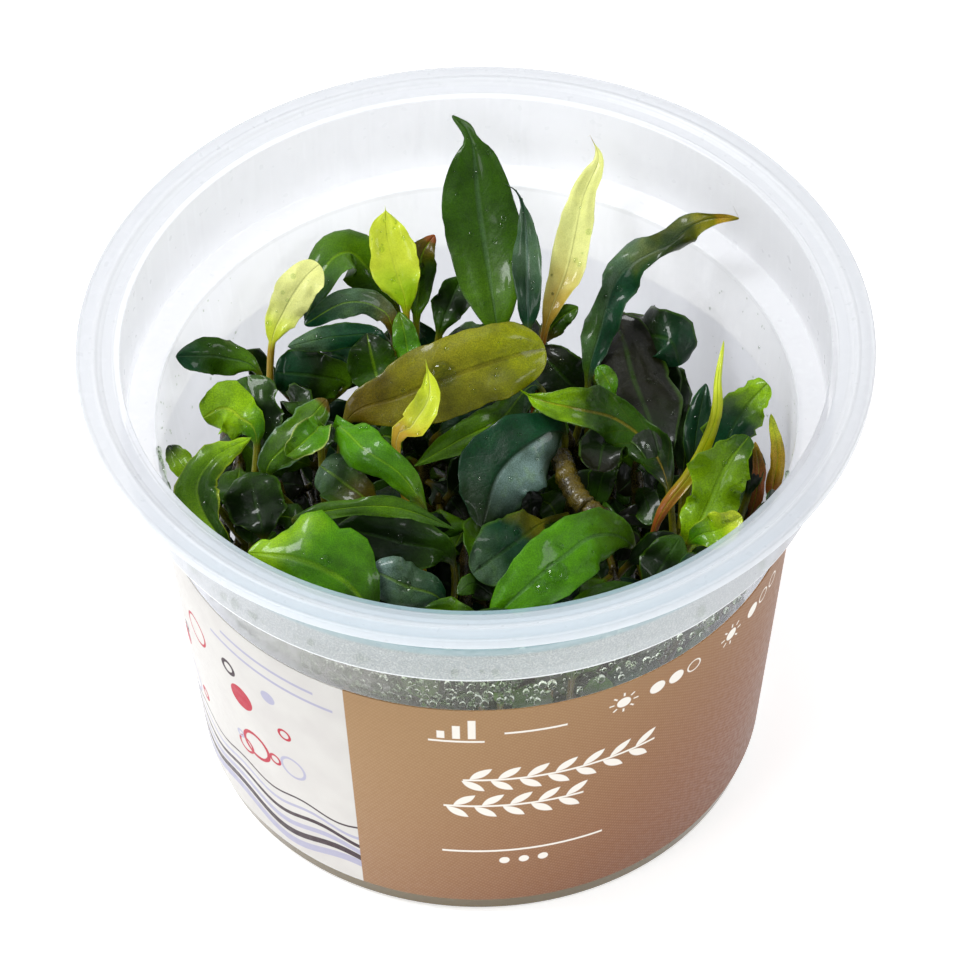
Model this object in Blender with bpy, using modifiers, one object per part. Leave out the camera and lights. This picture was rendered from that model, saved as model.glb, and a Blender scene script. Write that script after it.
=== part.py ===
"""A clump of bucephalandra plantlets growing in a clear plastic culture cup.

The cup stands on its flat base at the origin, +Z up, and -Y is the front.
Lengths below are millimetres and angles degrees. The meshes are in metres.
"""

import math

import bmesh
import bpy
from mathutils import Matrix, Vector
from mathutils.bvhtree import BVHTree

MM = 0.001

# Cup
RIM_DIAMETER = 118.0
CUP_HEIGHT = 80.0
BASE_RADIUS = 42.4
BODY_TOP_RADIUS = 48.6
SHOULDER_HEIGHT = 64.6
COLLAR_RADIUS = 53.1
MOUTH_RADIUS = 52.5
RIDGE_RADIUS = 56.4
LIP_DEPTH = 1.7
WALL = 0.9
CUP_STEPS = 48

# Label and growing gel
GAP = 0.3
LABEL_BOTTOM = 3.3
LABEL_TOP = 52.3
LABEL_THICKNESS = 0.25
GEL_TOP = 12.0

# Stems and leaves
STEM_RADIUS = 1.5
STALK_RADIUS = 0.55
BLADE_THICKNESS = 0.55
LEAF_SPACING = 2.2
FACING = Vector((0.0, -0.68, 0.733))
LIFT_STEP = 0.5
LIFTS = 22
MARGIN = 0.2
AROUND = 8
RINGS = 9


def empty_scene():
    for old in list(bpy.data.objects):
        bpy.data.objects.remove(old, do_unlink=True)


def finish(name, colour, roughness):
    made = bpy.data.materials.new(name)
    made.use_nodes = True
    shader = made.node_tree.nodes["Principled BSDF"]
    shader.inputs["Base Color"].default_value = (*colour, 1.0)
    shader.inputs["Roughness"].default_value = roughness
    shader.inputs["Metallic"].default_value = 0.0
    return made


def place(name, data, colour, roughness):
    made = bpy.data.objects.new(name, data)
    data.materials.append(finish(name + "_finish", colour, roughness))
    group.objects.link(made)
    return made


def turned(name, profile, colour, roughness):
    """A turned shell: the profile starts on the axis, runs up inside and down outside."""
    mesh = bpy.data.meshes.new(name)
    bm = bmesh.new()
    points = [bm.verts.new((r * MM, 0.0, z * MM)) for r, z in profile]
    for start, end in zip(points, points[1:]):
        bm.edges.new((start, end))
    bm.to_mesh(mesh)
    bm.free()
    made = place(name, mesh, colour, roughness)
    screw = made.modifiers.new("Turned", "SCREW")
    screw.steps = CUP_STEPS
    screw.render_steps = CUP_STEPS
    screw.use_merge_vertices = True
    screw.merge_threshold = 0.00001
    screw.use_smooth_shade = True
    return made


def body_radius(height):
    return BASE_RADIUS + (BODY_TOP_RADIUS - BASE_RADIUS) * height / SHOULDER_HEIGHT


# Cup: one thin moulding, a tapered body under a stepped collar and a flange for the lid
def cup_profile():
    floor = WALL + 0.3
    ledge = SHOULDER_HEIGHT + WALL
    rim = RIM_DIAMETER / 2
    inside = [
        (0.0, floor),
        (body_radius(floor) - WALL - 1.0, floor),
        (body_radius(floor) - WALL, floor + 1.0),
        (body_radius(ledge) - WALL - 0.1, ledge - 0.4),
        (body_radius(ledge) - WALL + 0.4, ledge),
        (COLLAR_RADIUS - WALL - 0.4, ledge),
        (COLLAR_RADIUS - WALL, ledge + 0.4),
        (MOUTH_RADIUS, CUP_HEIGHT - 0.9),
    ]
    flange = [
        (MOUTH_RADIUS + 0.8, CUP_HEIGHT - 0.5),
        (RIDGE_RADIUS - 0.6, CUP_HEIGHT - 0.5),
        (RIDGE_RADIUS, CUP_HEIGHT),
        (rim - 0.5, CUP_HEIGHT),
        (rim, CUP_HEIGHT - 0.5),
        (rim, CUP_HEIGHT - LIP_DEPTH),
        (rim - WALL, CUP_HEIGHT - LIP_DEPTH),
        (rim - WALL - 0.4, CUP_HEIGHT - 1.3),
        (MOUTH_RADIUS + WALL + 0.2, CUP_HEIGHT - 1.6),
    ]
    outside = [
        (COLLAR_RADIUS, SHOULDER_HEIGHT + 0.5),
        (COLLAR_RADIUS - 0.5, SHOULDER_HEIGHT),
        (BODY_TOP_RADIUS, SHOULDER_HEIGHT),
        (body_radius(1.2), 1.2),
        (body_radius(0.0) - 1.2, 0.0),
        (0.0, 0.0),
    ]
    return inside + flange + outside


def label_profile():
    inner_low = body_radius(LABEL_BOTTOM) + GAP
    inner_high = body_radius(LABEL_TOP) + GAP
    return [
        (inner_low, LABEL_BOTTOM),
        (inner_high, LABEL_TOP),
        (inner_high + LABEL_THICKNESS, LABEL_TOP),
        (inner_low + LABEL_THICKNESS, LABEL_BOTTOM),
        (inner_low, LABEL_BOTTOM),
    ]


def gel_profile():
    bottom = WALL + 0.3 + GAP
    side = WALL + GAP
    return [
        (0.0, GEL_TOP),
        (body_radius(GEL_TOP) - side, GEL_TOP),
        (body_radius(bottom + 1.2) - side, bottom + 1.2),
        (body_radius(bottom + 1.2) - side - 1.2, bottom),
        (0.0, bottom),
    ]


# Stems: creeping rhizomes that stand in the gel, thick at the nodes, one for each plantlet.
# Each has its foot on the gel and its top where its leaves leave it.
STEMS = {
    "back": {"foot": (4, 14), "top": (6, 19, 41)},
    "right_back": {"foot": (14, 10), "top": (16, 13, 44)},
    "left_back": {"foot": (-24, 12), "top": (-32, 16, 50)},
    "mid_back": {"foot": (-8, 18), "top": (-10, 24, 45)},
    "mid_left": {"foot": (-18, 2), "top": (-22, 0, 48)},
    "left": {"foot": (-26, -6), "top": (-33, -9, 48)},
    "middle": {"foot": (12, -2), "top": (14.5, 1.5, 48)},
    "right": {"foot": (24, -6), "top": (27.5, -8, 42)},
    "right_edge": {"foot": (34, -4), "top": (41.5, -6, 47)},
    "front": {"foot": (-4, -14), "top": (-6, -19, 40)},
}


def stem_route(name):
    """Up out of the gel, across to the plantlet's place and straight up past its leaves' roots."""
    x, y, top = STEMS[name]["top"]
    foot_x, foot_y = STEMS[name]["foot"]
    bottom = GEL_TOP + GAP
    leaves = sum(leaf["stem"] == name for leaf in LEAVES)
    return [
        (foot_x, foot_y, bottom),
        (foot_x, foot_y, bottom + 3.0),
        (x, y, top - LEAF_SPACING * leaves - 1.0),
        (x, y, top),
    ]


def stem(name):
    curve = bpy.data.curves.new("stem_" + name, "CURVE")
    curve.dimensions = "3D"
    curve.bevel_depth = STEM_RADIUS * MM
    curve.bevel_resolution = 2
    curve.use_fill_caps = True
    route = stem_route(name)
    line = curve.splines.new("POLY")
    line.points.add(len(route) - 1)
    for point, (x, y, z) in zip(line.points, route):
        point.co = (x * MM, y * MM, z * MM, 1.0)
    return place("stem_" + name, curve, (0.28, 0.20, 0.05), 0.4)


# Leaves, from the back and the lowest up to the front. Each has the stem it grows on, the route of
# its midrib from the start of the blade to the tip, the width of the blade and its form.
# roll turns the blade about its midrib, twist adds to it towards the tip, fold lifts the edges,
# wave is the height of the edge's ripples and neck is the share of the blade drawn out to a tip.
FORMS = {
    "ovate": (0.75, 0.70),
    "round": (0.62, 0.42),
    "lance": (0.80, 0.95),
    "early": (0.55, 0.85),
    "strap": (0.50, 0.50),
    "spear": (0.25, 0.60),
}

LEAF_TONES = {
    "dark": (0.03, 0.08, 0.015),
    "teal": (0.05, 0.12, 0.09),
    "mid": (0.07, 0.20, 0.02),
    "lime": (0.25, 0.45, 0.03),
    "yellow": (0.60, 0.65, 0.12),
    "olive": (0.30, 0.28, 0.02),
}

LEAVES = [
    dict(name="tall_back", stem="back", tone="dark", width=11.8, form="ovate", neck=0.12, fold=8,
         wave=0.3,
         route=[(3.5, 23.5, 57), (1, 38.5, 68), (0, 46.5, 76), (-1.5, 50, 79)]),
    dict(name="folded_back", stem="back", tone="teal", width=5.6, form="lance", neck=0.2, fold=38,
         wave=0.2,
         route=[(8, 21.5, 60), (8, 33, 69), (7, 37.5, 73), (4.5, 39.5, 74)]),
    dict(name="yellow_back", stem="back", tone="yellow", width=5.6, form="lance", neck=0.05,
         fold=15, wave=0.5,
         route=[(10.5, 23, 58), (14, 30.5, 64), (16.5, 38.5, 71), (19, 43, 75), (17.5, 46, 77)]),
    dict(name="brown_tip_back", stem="mid_back", tone="mid", width=5.0, form="ovate", fold=14, wave=0.8,
         route=[(-9, 29, 55), (-8.5, 32.5, 59), (-8, 36, 62), (-6, 38.5, 64)]),
    dict(name="small_dark_back", stem="mid_back", tone="dark", width=5.6, form="ovate",
         route=[(-5.5, 27, 54), (-4, 30, 57), (-2, 33.5, 60)]),
    dict(name="arched_back", stem="mid_back", tone="dark", width=8.4, form="lance", fold=10,
         wave=0.8, twist=40,
         route=[(-12, 32.5, 54), (-16, 35, 60), (-19, 36, 63), (-22.5, 33, 63), (-26, 26, 58)]),
    dict(name="lime_upright", stem="mid_back", tone="lime", width=7.6, form="ovate", neck=0.06, fold=10,
         route=[(-10.5, 30, 56), (-11.5, 33, 60), (-13, 36.5, 65), (-13.5, 41, 68)]),
    dict(name="pale_yellow", stem="left_back", tone="yellow", width=6.2, form="round", fold=6,
         route=[(-31, 22.5, 57), (-29, 25.5, 61), (-26, 28, 65), (-23.5, 29.5, 67)]),
    dict(name="grey_arc", stem="mid_back", tone="teal", width=4.4, form="strap", fold=-14, wave=0.3,
         route=[(-12.5, 27, 54), (-15, 29, 58), (-20, 28, 60), (-26, 25.5, 58)]),
    dict(name="broad_dark_left", stem="left_back", tone="dark", width=8.2, form="round", fold=-8,
         route=[(-20, 19, 51), (-24.5, 18.5, 54), (-30.5, 17.5, 56)]),
    dict(name="upper_left_fold", stem="mid_back", tone="teal", width=4.2, form="ovate", fold=-16,
         route=[(-13.5, 23.5, 56), (-20.5, 22, 59), (-28.5, 20, 59)]),
    dict(name="mid_green", stem="mid_back", tone="mid", width=8.0, form="ovate", wave=0.5,
         route=[(-14, 16.5, 50), (-15.5, 19.5, 55), (-16.5, 23.5, 58)]),
    dict(name="small_green", stem="mid_back", tone="mid", width=4.2, form="ovate",
         route=[(-10, 18.5, 53), (-10.5, 22, 57), (-11.5, 26, 60)]),
    dict(name="dark_middle", stem="right_back", tone="dark", width=8.0, form="ovate", fold=6,
         route=[(17, 19, 46), (13.5, 20, 51), (9, 24.5, 53)]),
    dict(name="right_broad", stem="right_back", tone="dark", width=9.6, form="round", fold=-10,
         wave=0.9,
         route=[(19.5, 27, 52), (25, 24, 56), (29.5, 21, 58), (31, 18.5, 55)]),
    dict(name="black_broad", stem="right_back", tone="dark", width=11.6, form="early", fold=-8,
         wave=0.3,
         route=[(21, 28, 53), (24, 15.5, 54.5), (26.5, 5.5, 54.5), (28, -2, 51.5)]),
    dict(name="bright_right", stem="right", tone="lime", width=7.2, form="ovate", neck=0.12,
         fold=12, wave=0.6,
         route=[(28.5, -5.5, 53), (26, 3.5, 53), (21, 6.5, 56), (15, 5, 60), (9.5, 6, 61),
                (5.5, 10, 60)]),
    dict(name="long_wavy", stem="right_back", tone="teal", width=6.4, form="lance", fold=16,
         wave=0.9, waves=2.5,
         route=[(17, 16, 54), (19, 21.5, 60), (22, 27, 66), (29, 28.5, 71), (34, 29.5, 75),
                (39, 30, 78)]),
    dict(name="long_mid_green", stem="middle", tone="mid", width=5.8, form="lance", fold=12, wave=0.3,
         route=[(9.5, 13.5, 56), (3.5, 5, 58), (-2.5, 1, 58), (-9.5, -2.5, 56)]),
    dict(name="silver_dark", stem="middle", tone="teal", width=12.6, form="ovate", fold=-16, wave=0.3,
         route=[(13, 2, 58), (8, -2, 60), (3, -6.5, 58), (0.5, -12.5, 53)]),
    dict(name="big_olive", stem="mid_left", tone="olive", width=12.2, form="round", fold=8, wave=0.3,
         route=[(-19.5, 6, 57), (-11.5, 8, 60), (-3, 10.5, 62), (5, 13, 63), (10.5, 15.5, 62)]),
    dict(name="left_point", stem="left_back", tone="teal", width=5.8, form="ovate", fold=-10,
         route=[(-33, 14, 60), (-38, 14, 63), (-42, 12.5, 65), (-45, 11.5, 66)]),
    dict(name="dark_left", stem="left", tone="dark", width=8.4, form="round", fold=8,
         route=[(-31.5, 0, 55), (-33, 5, 59), (-34.5, 11, 62)]),
    dict(name="lime_lobe", stem="left", tone="lime", width=7.6, form="round", fold=-12, wave=0.9,
         route=[(-33, 1, 58), (-35.5, 3.5, 61), (-38, 4.5, 62), (-41, 3.5, 61)]),
    dict(name="cut_end", stem="mid_left", tone="mid", width=6.0, form="strap", fold=-14,
         route=[(-31.5, -4, 56), (-27, 0.5, 60), (-22.5, 6, 62)]),
    dict(name="grey_round", stem="mid_left", tone="teal", width=7.6, form="round", fold=8,
         route=[(-16.5, -9.5, 55), (-20, -6.5, 57), (-23.5, -3, 57)]),
    dict(name="left_curl", stem="mid_left", tone="mid", width=5.2, form="ovate", fold=24,
         route=[(-23.5, 1, 60), (-24, -2.5, 64), (-26.5, -5, 63.5), (-28.5, -5.5, 62)]),
    dict(name="glossy_arch", stem="mid_left", tone="lime", width=6.4, form="lance", fold=-16, wave=0.3,
         route=[(-20.5, 1, 60), (-20, -2.5, 64.5), (-16.5, -7.5, 65), (-11.5, -10.5, 63),
                (-7.5, -13.5, 58)]),
    dict(name="yellow_curl", stem="front", tone="yellow", width=4.8, form="lance", neck=0.1,
         fold=26, wave=0.8,
         route=[(-12, -5.5, 62), (-9.5, -1.5, 64), (-7, 2.5, 66), (-7.5, 7.5, 69)]),
    dict(name="dark_round_left", stem="left", tone="dark", width=9.0, form="round", fold=-12,
         route=[(-32, -14.5, 54), (-33, -11, 57), (-34, -5, 58)]),
    dict(name="far_left_small", stem="left", tone="lime", width=3.8, form="ovate", fold=12,
         route=[(-41.5, -8.5, 60), (-43.5, -7.5, 62), (-46, -4, 63)]),
    dict(name="bright_curl", stem="left", tone="lime", width=7.0, form="lance", fold=22, wave=0.4,
         roll=-20,
         route=[(-37, -17.5, 55), (-40.5, -14.5, 59), (-41.5, -11, 62), (-38.5, -8, 65),
                (-33.5, -4.5, 65)]),
    dict(name="right_dark_upright", stem="right", tone="dark", width=4.0, form="ovate", fold=10,
         route=[(32, -2, 52), (33, 2.5, 58), (34.5, 8, 62)]),
    dict(name="right_lobed", stem="right", tone="lime", width=6.6, form="round", fold=10, wave=1.0,
         route=[(35.5, -3.5, 54), (38, 0, 60), (40.5, 2.5, 63), (43.5, 4, 66)]),
    dict(name="right_spear", stem="right", tone="yellow", width=2.6, form="spear", fold=0,
         route=[(26.5, -8, 48), (32, -3.5, 55), (35.5, 0.5, 62), (36, 5, 66), (37, 10, 69)]),
    dict(name="right_wavy", stem="right", tone="lime", width=8.2, form="strap", fold=14, wave=0.8,
         route=[(31.5, -14, 50), (34.5, -10.5, 56), (37, -7, 60), (40.5, -3, 62)]),
    dict(name="right_curl", stem="right", tone="lime", width=6.0, form="round", fold=26,
         route=[(31.5, -14, 51), (35.5, -14.5, 54), (39, -14.5, 57)]),
    dict(name="edge_shoot", stem="right_edge", tone="yellow", width=2.4, form="spear",
         route=[(44, -4, 50), (45, -1.5, 56), (44, 1.5, 62)]),
    dict(name="edge_red_shoot", stem="right_edge", tone="olive", width=2.4, form="spear",
         route=[(41, -5, 48), (42, -2.5, 53), (41.5, 0.5, 57)]),
    dict(name="front_dark", stem="front", tone="dark", width=8.2, form="ovate", fold=8, wave=0.4,
         route=[(-4, -15.5, 49), (-11.5, -16, 54), (-21, -14.5, 56)]),
    dict(name="grey_teal", stem="middle", tone="teal", width=9.2, form="round", fold=8,
         route=[(9.5, -8, 49), (5, -16, 53), (-1, -22.5, 54)]),
    dict(name="front_bluish", stem="front", tone="teal", width=7.4, form="round", fold=-8, wave=0.3,
         route=[(-5.5, -24.5, 50), (-11, -25.5, 55), (-16, -24, 57)]),
    dict(name="front_small", stem="front", tone="mid", width=4.2, form="ovate",
         route=[(-1, -29.5, 50), (-4.5, -30, 54), (-8, -30, 55)]),
    dict(name="front_right_dark", stem="right", tone="dark", width=7.0, form="ovate", fold=-10,
         route=[(25.5, -20.5, 47), (27.5, -19, 52), (30, -16.5, 55)]),
    dict(name="front_right_low", stem="right", tone="dark", width=5.2, form="ovate", fold=8,
         route=[(27.5, -24, 48), (20.5, -26, 52), (13.5, -28.5, 54)]),
    dict(name="front_left_green", stem="front", tone="lime", width=13.5, form="ovate", fold=-14,
         wave=0.5,
         route=[(-15, -28.5, 52), (-20, -27, 58), (-26.5, -25.5, 61), (-34, -23, 60)]),
    dict(name="front_right_green", stem="right", tone="lime", width=10.0, form="ovate", fold=10,
         wave=0.4,
         route=[(23, -14, 50), (17.5, -18, 57), (12, -24.5, 59), (6.5, -29.5, 58),
                (1.5, -32, 54)]),
]


def along(route, share):
    """The point at a share of the way along the smooth line through the route."""
    lengths = [(end - start).length for start, end in zip(route, route[1:])]
    left = share * sum(lengths)
    number = 0
    while number < len(lengths) - 1 and left > lengths[number]:
        left -= lengths[number]
        number += 1
    t = left / lengths[number]
    start, end = route[number], route[number + 1]
    before = route[number - 1] if number > 0 else 2 * start - end
    after = route[number + 2] if number + 2 < len(route) else 2 * end - start
    return 0.5 * (2 * start + (end - before) * t
                  + (2 * before - 5 * start + 4 * end - after) * t ** 2
                  + (3 * start - before - 3 * end + after) * t ** 3)


def blade_width(leaf, blade):
    """The half width at a share of the blade, from the leaf's form."""
    rise, fall = FORMS[leaf["form"]]
    neck = leaf.get("neck", 0.0)
    spread = min(blade / (1.0 - neck), 1.0)
    peak = rise / (rise + fall)
    highest = peak ** rise * (1.0 - peak) ** fall
    broad = leaf["width"] / 2 * spread ** rise * (1.0 - spread) ** fall / highest
    return max(broad, STALK_RADIUS * min(1.0, 3.0 * (1.0 - blade)))


def leaf_point(leaf, route, turn, share, margin=0.0):
    """A point on the skin of a leaf: turn goes round its section, share goes from root to tip."""
    lengths = [(end - start).length for start, end in zip(route, route[1:])]
    stalk = lengths[0] / sum(lengths)
    centre = along(route, share)
    if share in (0.0, 1.0):
        return centre
    blade = max(0.0, (share - stalk) / (1.0 - stalk))
    ahead = (along(route, min(share + 0.02, 1.0)) - along(route, max(share - 0.02, 0.0))).normalized()
    side = ahead.cross(FACING).normalized()
    roll = math.radians(leaf.get("roll", 0.0) + leaf.get("twist", 0.0) * blade)
    side = Matrix.Rotation(roll, 3, ahead) @ side
    up = side.cross(ahead)
    half = blade_width(leaf, blade) + margin
    flat = min(1.0, blade * 5.0)
    thick = STALK_RADIUS + (BLADE_THICKNESS / 2 - STALK_RADIUS) * flat + margin
    thick *= min(1.0, 6.0 * (1.0 - share) + 0.4)
    across = math.cos(turn)
    fold = math.radians(leaf.get("fold", 10.0)) * flat
    ripple = math.sin(math.tau * leaf.get("waves", 1.5) * blade + (0.0 if across > 0 else 2.0))
    edge = leaf.get("wave", 0.2) * flat * across ** 2 * ripple * min(1.0, half / 1.5)
    rise = abs(across) * half * math.sin(fold) + edge
    return centre + side * (across * half * math.cos(fold)) + up * (rise + thick * math.sin(turn))


def stations(rings):
    """Shares of the way from root to tip, closer together at both ends."""
    return [0.5 - 0.5 * math.cos(math.pi * number / rings) for number in range(rings + 1)]


def stem_order(leaf):
    """How many leaves grow above this one on its stem: the higher the blade, the higher its root."""
    same = [other for other in LEAVES if other["stem"] == leaf["stem"]]
    ranked = sorted(same, key=lambda other: -other["route"][0][2])
    return [other["name"] for other in ranked].index(leaf["name"])


def leaf_route(leaf, order, lift, detour):
    """The stalk's start on the stem, then the blade's own route lifted clear of those below."""
    x, y, z = STEMS[leaf["stem"]]["top"]
    start = Vector(leaf["route"][0])
    out = Vector((start.x - x, start.y - y, 0.0)).normalized()
    out = Matrix.Rotation(math.radians(detour), 3, "Z") @ out
    root = Vector((x, y, z - LEAF_SPACING * (order + 0.5)))
    root += out * (STEM_RADIUS + GAP + STALK_RADIUS)
    return [root] + [Vector(point) + FACING * (lift * LIFT_STEP) for point in leaf["route"]]


def leaf_tree(leaf, route, margin):
    shares = stations(RINGS)
    turns = [math.tau * number / AROUND for number in range(AROUND)]
    points = [leaf_point(leaf, route, turn, share, margin) for share in shares for turn in turns]
    faces = []
    for row in range(RINGS):
        for column in range(AROUND):
            beside = (column + 1) % AROUND
            faces.append((row * AROUND + column, row * AROUND + beside,
                          (row + 1) * AROUND + beside, (row + 1) * AROUND + column))
    return BVHTree.FromPolygons(points, faces)


def settle(leaf, order, placed):
    """The lowest lift and the smallest detour at which a leaf clears everything placed so far."""
    for lift in range(LIFTS):
        for detour in (0, 30, -30, 60, -60, 95, -95):
            route = leaf_route(leaf, order, lift, detour)
            tree = leaf_tree(leaf, route, MARGIN)
            if not any(tree.overlap(other) for other in placed):
                return route
    raise ValueError("no clear place for " + leaf["name"])


def leaf_mesh(name, leaf, route):
    """A grid rolled up into the leaf's closed skin and welded along its seam and at its ends."""
    mesh = bpy.data.meshes.new(name)
    bm = bmesh.new()
    bmesh.ops.create_grid(bm, x_segments=AROUND, y_segments=RINGS, size=0.5)
    shares = stations(RINGS)
    for vert in bm.verts:
        turn = math.tau * round((vert.co.x + 0.5) * AROUND) / AROUND
        share = shares[round((vert.co.y + 0.5) * RINGS)]
        vert.co = leaf_point(leaf, route, turn, share) * MM
    bmesh.ops.remove_doubles(bm, verts=bm.verts, dist=0.000002)
    bmesh.ops.triangulate(bm, faces=bm.faces)
    bmesh.ops.recalc_face_normals(bm, faces=bm.faces)
    for face in bm.faces:
        face.smooth = True
    bm.to_mesh(mesh)
    bm.free()
    return mesh


def shape_tree(made):
    """The search tree of an object's evaluated mesh, in millimetres."""
    bpy.context.view_layer.update()
    graph = bpy.context.evaluated_depsgraph_get()
    mesh = made.evaluated_get(graph).to_mesh()
    points = [made.matrix_world @ vert.co / MM for vert in mesh.vertices]
    faces = [tuple(face.vertices) for face in mesh.polygons]
    return BVHTree.FromPolygons(points, faces)


empty_scene()
group = bpy.data.collections.new("bucephalandra_cup")
bpy.context.scene.collection.children.link(group)

cup = turned("cup", cup_profile(), (0.86, 0.89, 0.92), 0.25)
label = turned("label", label_profile(), (0.62, 0.47, 0.35), 0.45)
gel = turned("growing_gel", gel_profile(), (0.55, 0.47, 0.30), 0.3)
obstacles = [shape_tree(cup), shape_tree(gel)]
for stem_name in STEMS:
    obstacles.append(shape_tree(stem(stem_name)))

for leaf in LEAVES:
    leaf_name = "leaf_" + leaf["name"]
    route = settle(leaf, stem_order(leaf), obstacles)
    place(leaf_name, leaf_mesh(leaf_name, leaf, route), LEAF_TONES[leaf["tone"]], 0.3)
    obstacles.append(leaf_tree(leaf, route, 0.0))
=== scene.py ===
"""The looks of a clump of bucephalandra plantlets in a clear plastic culture cup."""

import math
import random

import bmesh
import bpy
from mathutils import Matrix, Vector, noise
from mathutils.bvhtree import BVHTree


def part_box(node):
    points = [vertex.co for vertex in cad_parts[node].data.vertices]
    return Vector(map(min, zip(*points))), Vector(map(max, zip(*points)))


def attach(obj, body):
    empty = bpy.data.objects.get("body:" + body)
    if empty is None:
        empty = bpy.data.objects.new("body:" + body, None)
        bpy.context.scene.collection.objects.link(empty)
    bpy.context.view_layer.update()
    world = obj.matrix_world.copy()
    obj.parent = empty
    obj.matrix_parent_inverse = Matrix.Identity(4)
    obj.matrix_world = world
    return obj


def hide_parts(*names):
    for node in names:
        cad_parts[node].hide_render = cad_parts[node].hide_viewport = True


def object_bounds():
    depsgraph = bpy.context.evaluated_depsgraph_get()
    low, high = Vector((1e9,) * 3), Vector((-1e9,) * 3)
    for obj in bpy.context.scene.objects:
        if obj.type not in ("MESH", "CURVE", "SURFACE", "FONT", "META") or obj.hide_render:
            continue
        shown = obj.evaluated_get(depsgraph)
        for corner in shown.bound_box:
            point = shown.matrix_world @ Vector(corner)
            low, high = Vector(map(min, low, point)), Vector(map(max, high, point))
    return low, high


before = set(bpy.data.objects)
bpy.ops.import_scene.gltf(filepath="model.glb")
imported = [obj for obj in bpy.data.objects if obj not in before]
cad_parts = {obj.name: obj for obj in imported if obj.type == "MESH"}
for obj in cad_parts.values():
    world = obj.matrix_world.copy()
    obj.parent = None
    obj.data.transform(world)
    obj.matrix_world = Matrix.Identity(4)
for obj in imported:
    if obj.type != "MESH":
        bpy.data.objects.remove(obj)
cad_low, cad_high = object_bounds()

# Cup: one thin polypropylene moulding, milky and see-through, whose tapered body carries a frosted
# collar and a wide flange for a snap-on lid. Its section is turned and all its corners are rounded.
MM = 0.001
CUP_STEPS = 160
RIM_RADIUS = cad_high.x / MM
CUP_HEIGHT = cad_high.z / MM
BASE_RADIUS = 42.4
BODY_TOP_RADIUS = 48.6
SHOULDER_HEIGHT = 64.6
COLLAR_RADIUS = 53.1
MOUTH_RADIUS = 52.5
RIDGE_RADIUS = 56.4
LIP_DEPTH = 1.7
WALL = 0.9
CORNER = 0.28
RING_SPACING = 3.2
LABEL_BOTTOM = 3.3
CLEAR_BODY = 0.03
FOGGED_BODY = 0.36
MILKY_BODY = 0.48
FROSTED_COLLAR = 0.46
FROSTED_FLANGE = 0.58


def add_node(tree, kind, inputs=None, **settings):
    """A shader node with its settings, and its inputs set to values or linked to sockets."""
    made = tree.nodes.new(kind)
    for key, value in settings.items():
        setattr(made, key, value)
    for key, value in (inputs or {}).items():
        if isinstance(value, bpy.types.NodeSocket):
            tree.links.new(value, made.inputs[key])
        else:
            made.inputs[key].default_value = value
    return made


def sum_up(tree, operation, *values):
    settings = dict(enumerate(values))
    return add_node(tree, "ShaderNodeMath", settings, operation=operation).outputs[0]


def ramp(tree, value, low, high, start=0.0, end=1.0):
    """start below low, end above high, and a smooth change between them."""
    settings = {"Value": value, "From Min": low, "From Max": high, "To Min": start, "To Max": end}
    return add_node(tree, "ShaderNodeMapRange", settings, interpolation_type="SMOOTHSTEP").outputs[0]


def mixed(tree, share, first, second, blend="MIX"):
    settings = {0: share, 6: first, 7: second}
    return add_node(tree, "ShaderNodeMix", settings, data_type="RGBA", blend_type=blend).outputs[2]


def tint(red, green, blue):
    """A colour as it looks on a screen, 0 to 255 a channel, in the linear values of a shader."""
    return (*[(channel / 255) ** 2.2 for channel in (red, green, blue)], 1.0)


def new_finish(name):
    finish = bpy.data.materials.new(name)
    finish.use_nodes = True
    return finish, finish.node_tree, finish.node_tree.nodes["Principled BSDF"]


def new_group(name, inputs, outputs):
    """A node group with named sockets, and the nodes that read and write them."""
    group = bpy.data.node_groups.new(name, "ShaderNodeTree")
    for socket, kind in inputs.items():
        group.interface.new_socket(socket, in_out="INPUT", socket_type="NodeSocket" + kind)
    for socket, kind in outputs.items():
        group.interface.new_socket(socket, in_out="OUTPUT", socket_type="NodeSocket" + kind)
    return group, group.nodes.new("NodeGroupInput").outputs, group.nodes.new("NodeGroupOutput").inputs


def use_group(tree, group, inputs):
    made = add_node(tree, "ShaderNodeGroup", node_tree=group)
    for key, value in inputs.items():
        if isinstance(value, bpy.types.NodeSocket):
            tree.links.new(value, made.inputs[key])
        else:
            made.inputs[key].default_value = value
    return made.outputs


def unevenness_group():
    """Soft variation and fine grain at a named size, for every moulded, printed or grown surface."""
    group, given, made = new_group("Unevenness", {"Place": "Vector", "Size": "Float"},
                                   {"Soft": "Float", "Grain": "Float"})
    scale = sum_up(group, "DIVIDE", 1.0, given["Size"])
    soft = add_node(group, "ShaderNodeTexNoise", {"Vector": given["Place"], "Scale": scale, "Detail": 2.0})
    fine = sum_up(group, "MULTIPLY", scale, 9.0)
    grain = add_node(group, "ShaderNodeTexNoise", {"Vector": given["Place"], "Scale": fine, "Detail": 1.0})
    group.links.new(soft.outputs[0], made["Soft"])
    group.links.new(grain.outputs[0], made["Grain"])
    return group


def add_bump(tree, shader, height, depth, strength=1.0):
    """Relief of a depth in millimetres, from a height that runs from 0 to 1."""
    settings = {"Height": height, "Strength": strength, "Distance": depth * MM}
    bump = add_node(tree, "ShaderNodeBump", settings)
    tree.links.new(bump.outputs[0], shader.inputs["Normal"])


def body_radius(height):
    return BASE_RADIUS + (BODY_TOP_RADIUS - BASE_RADIUS) * height / SHOULDER_HEIGHT


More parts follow.
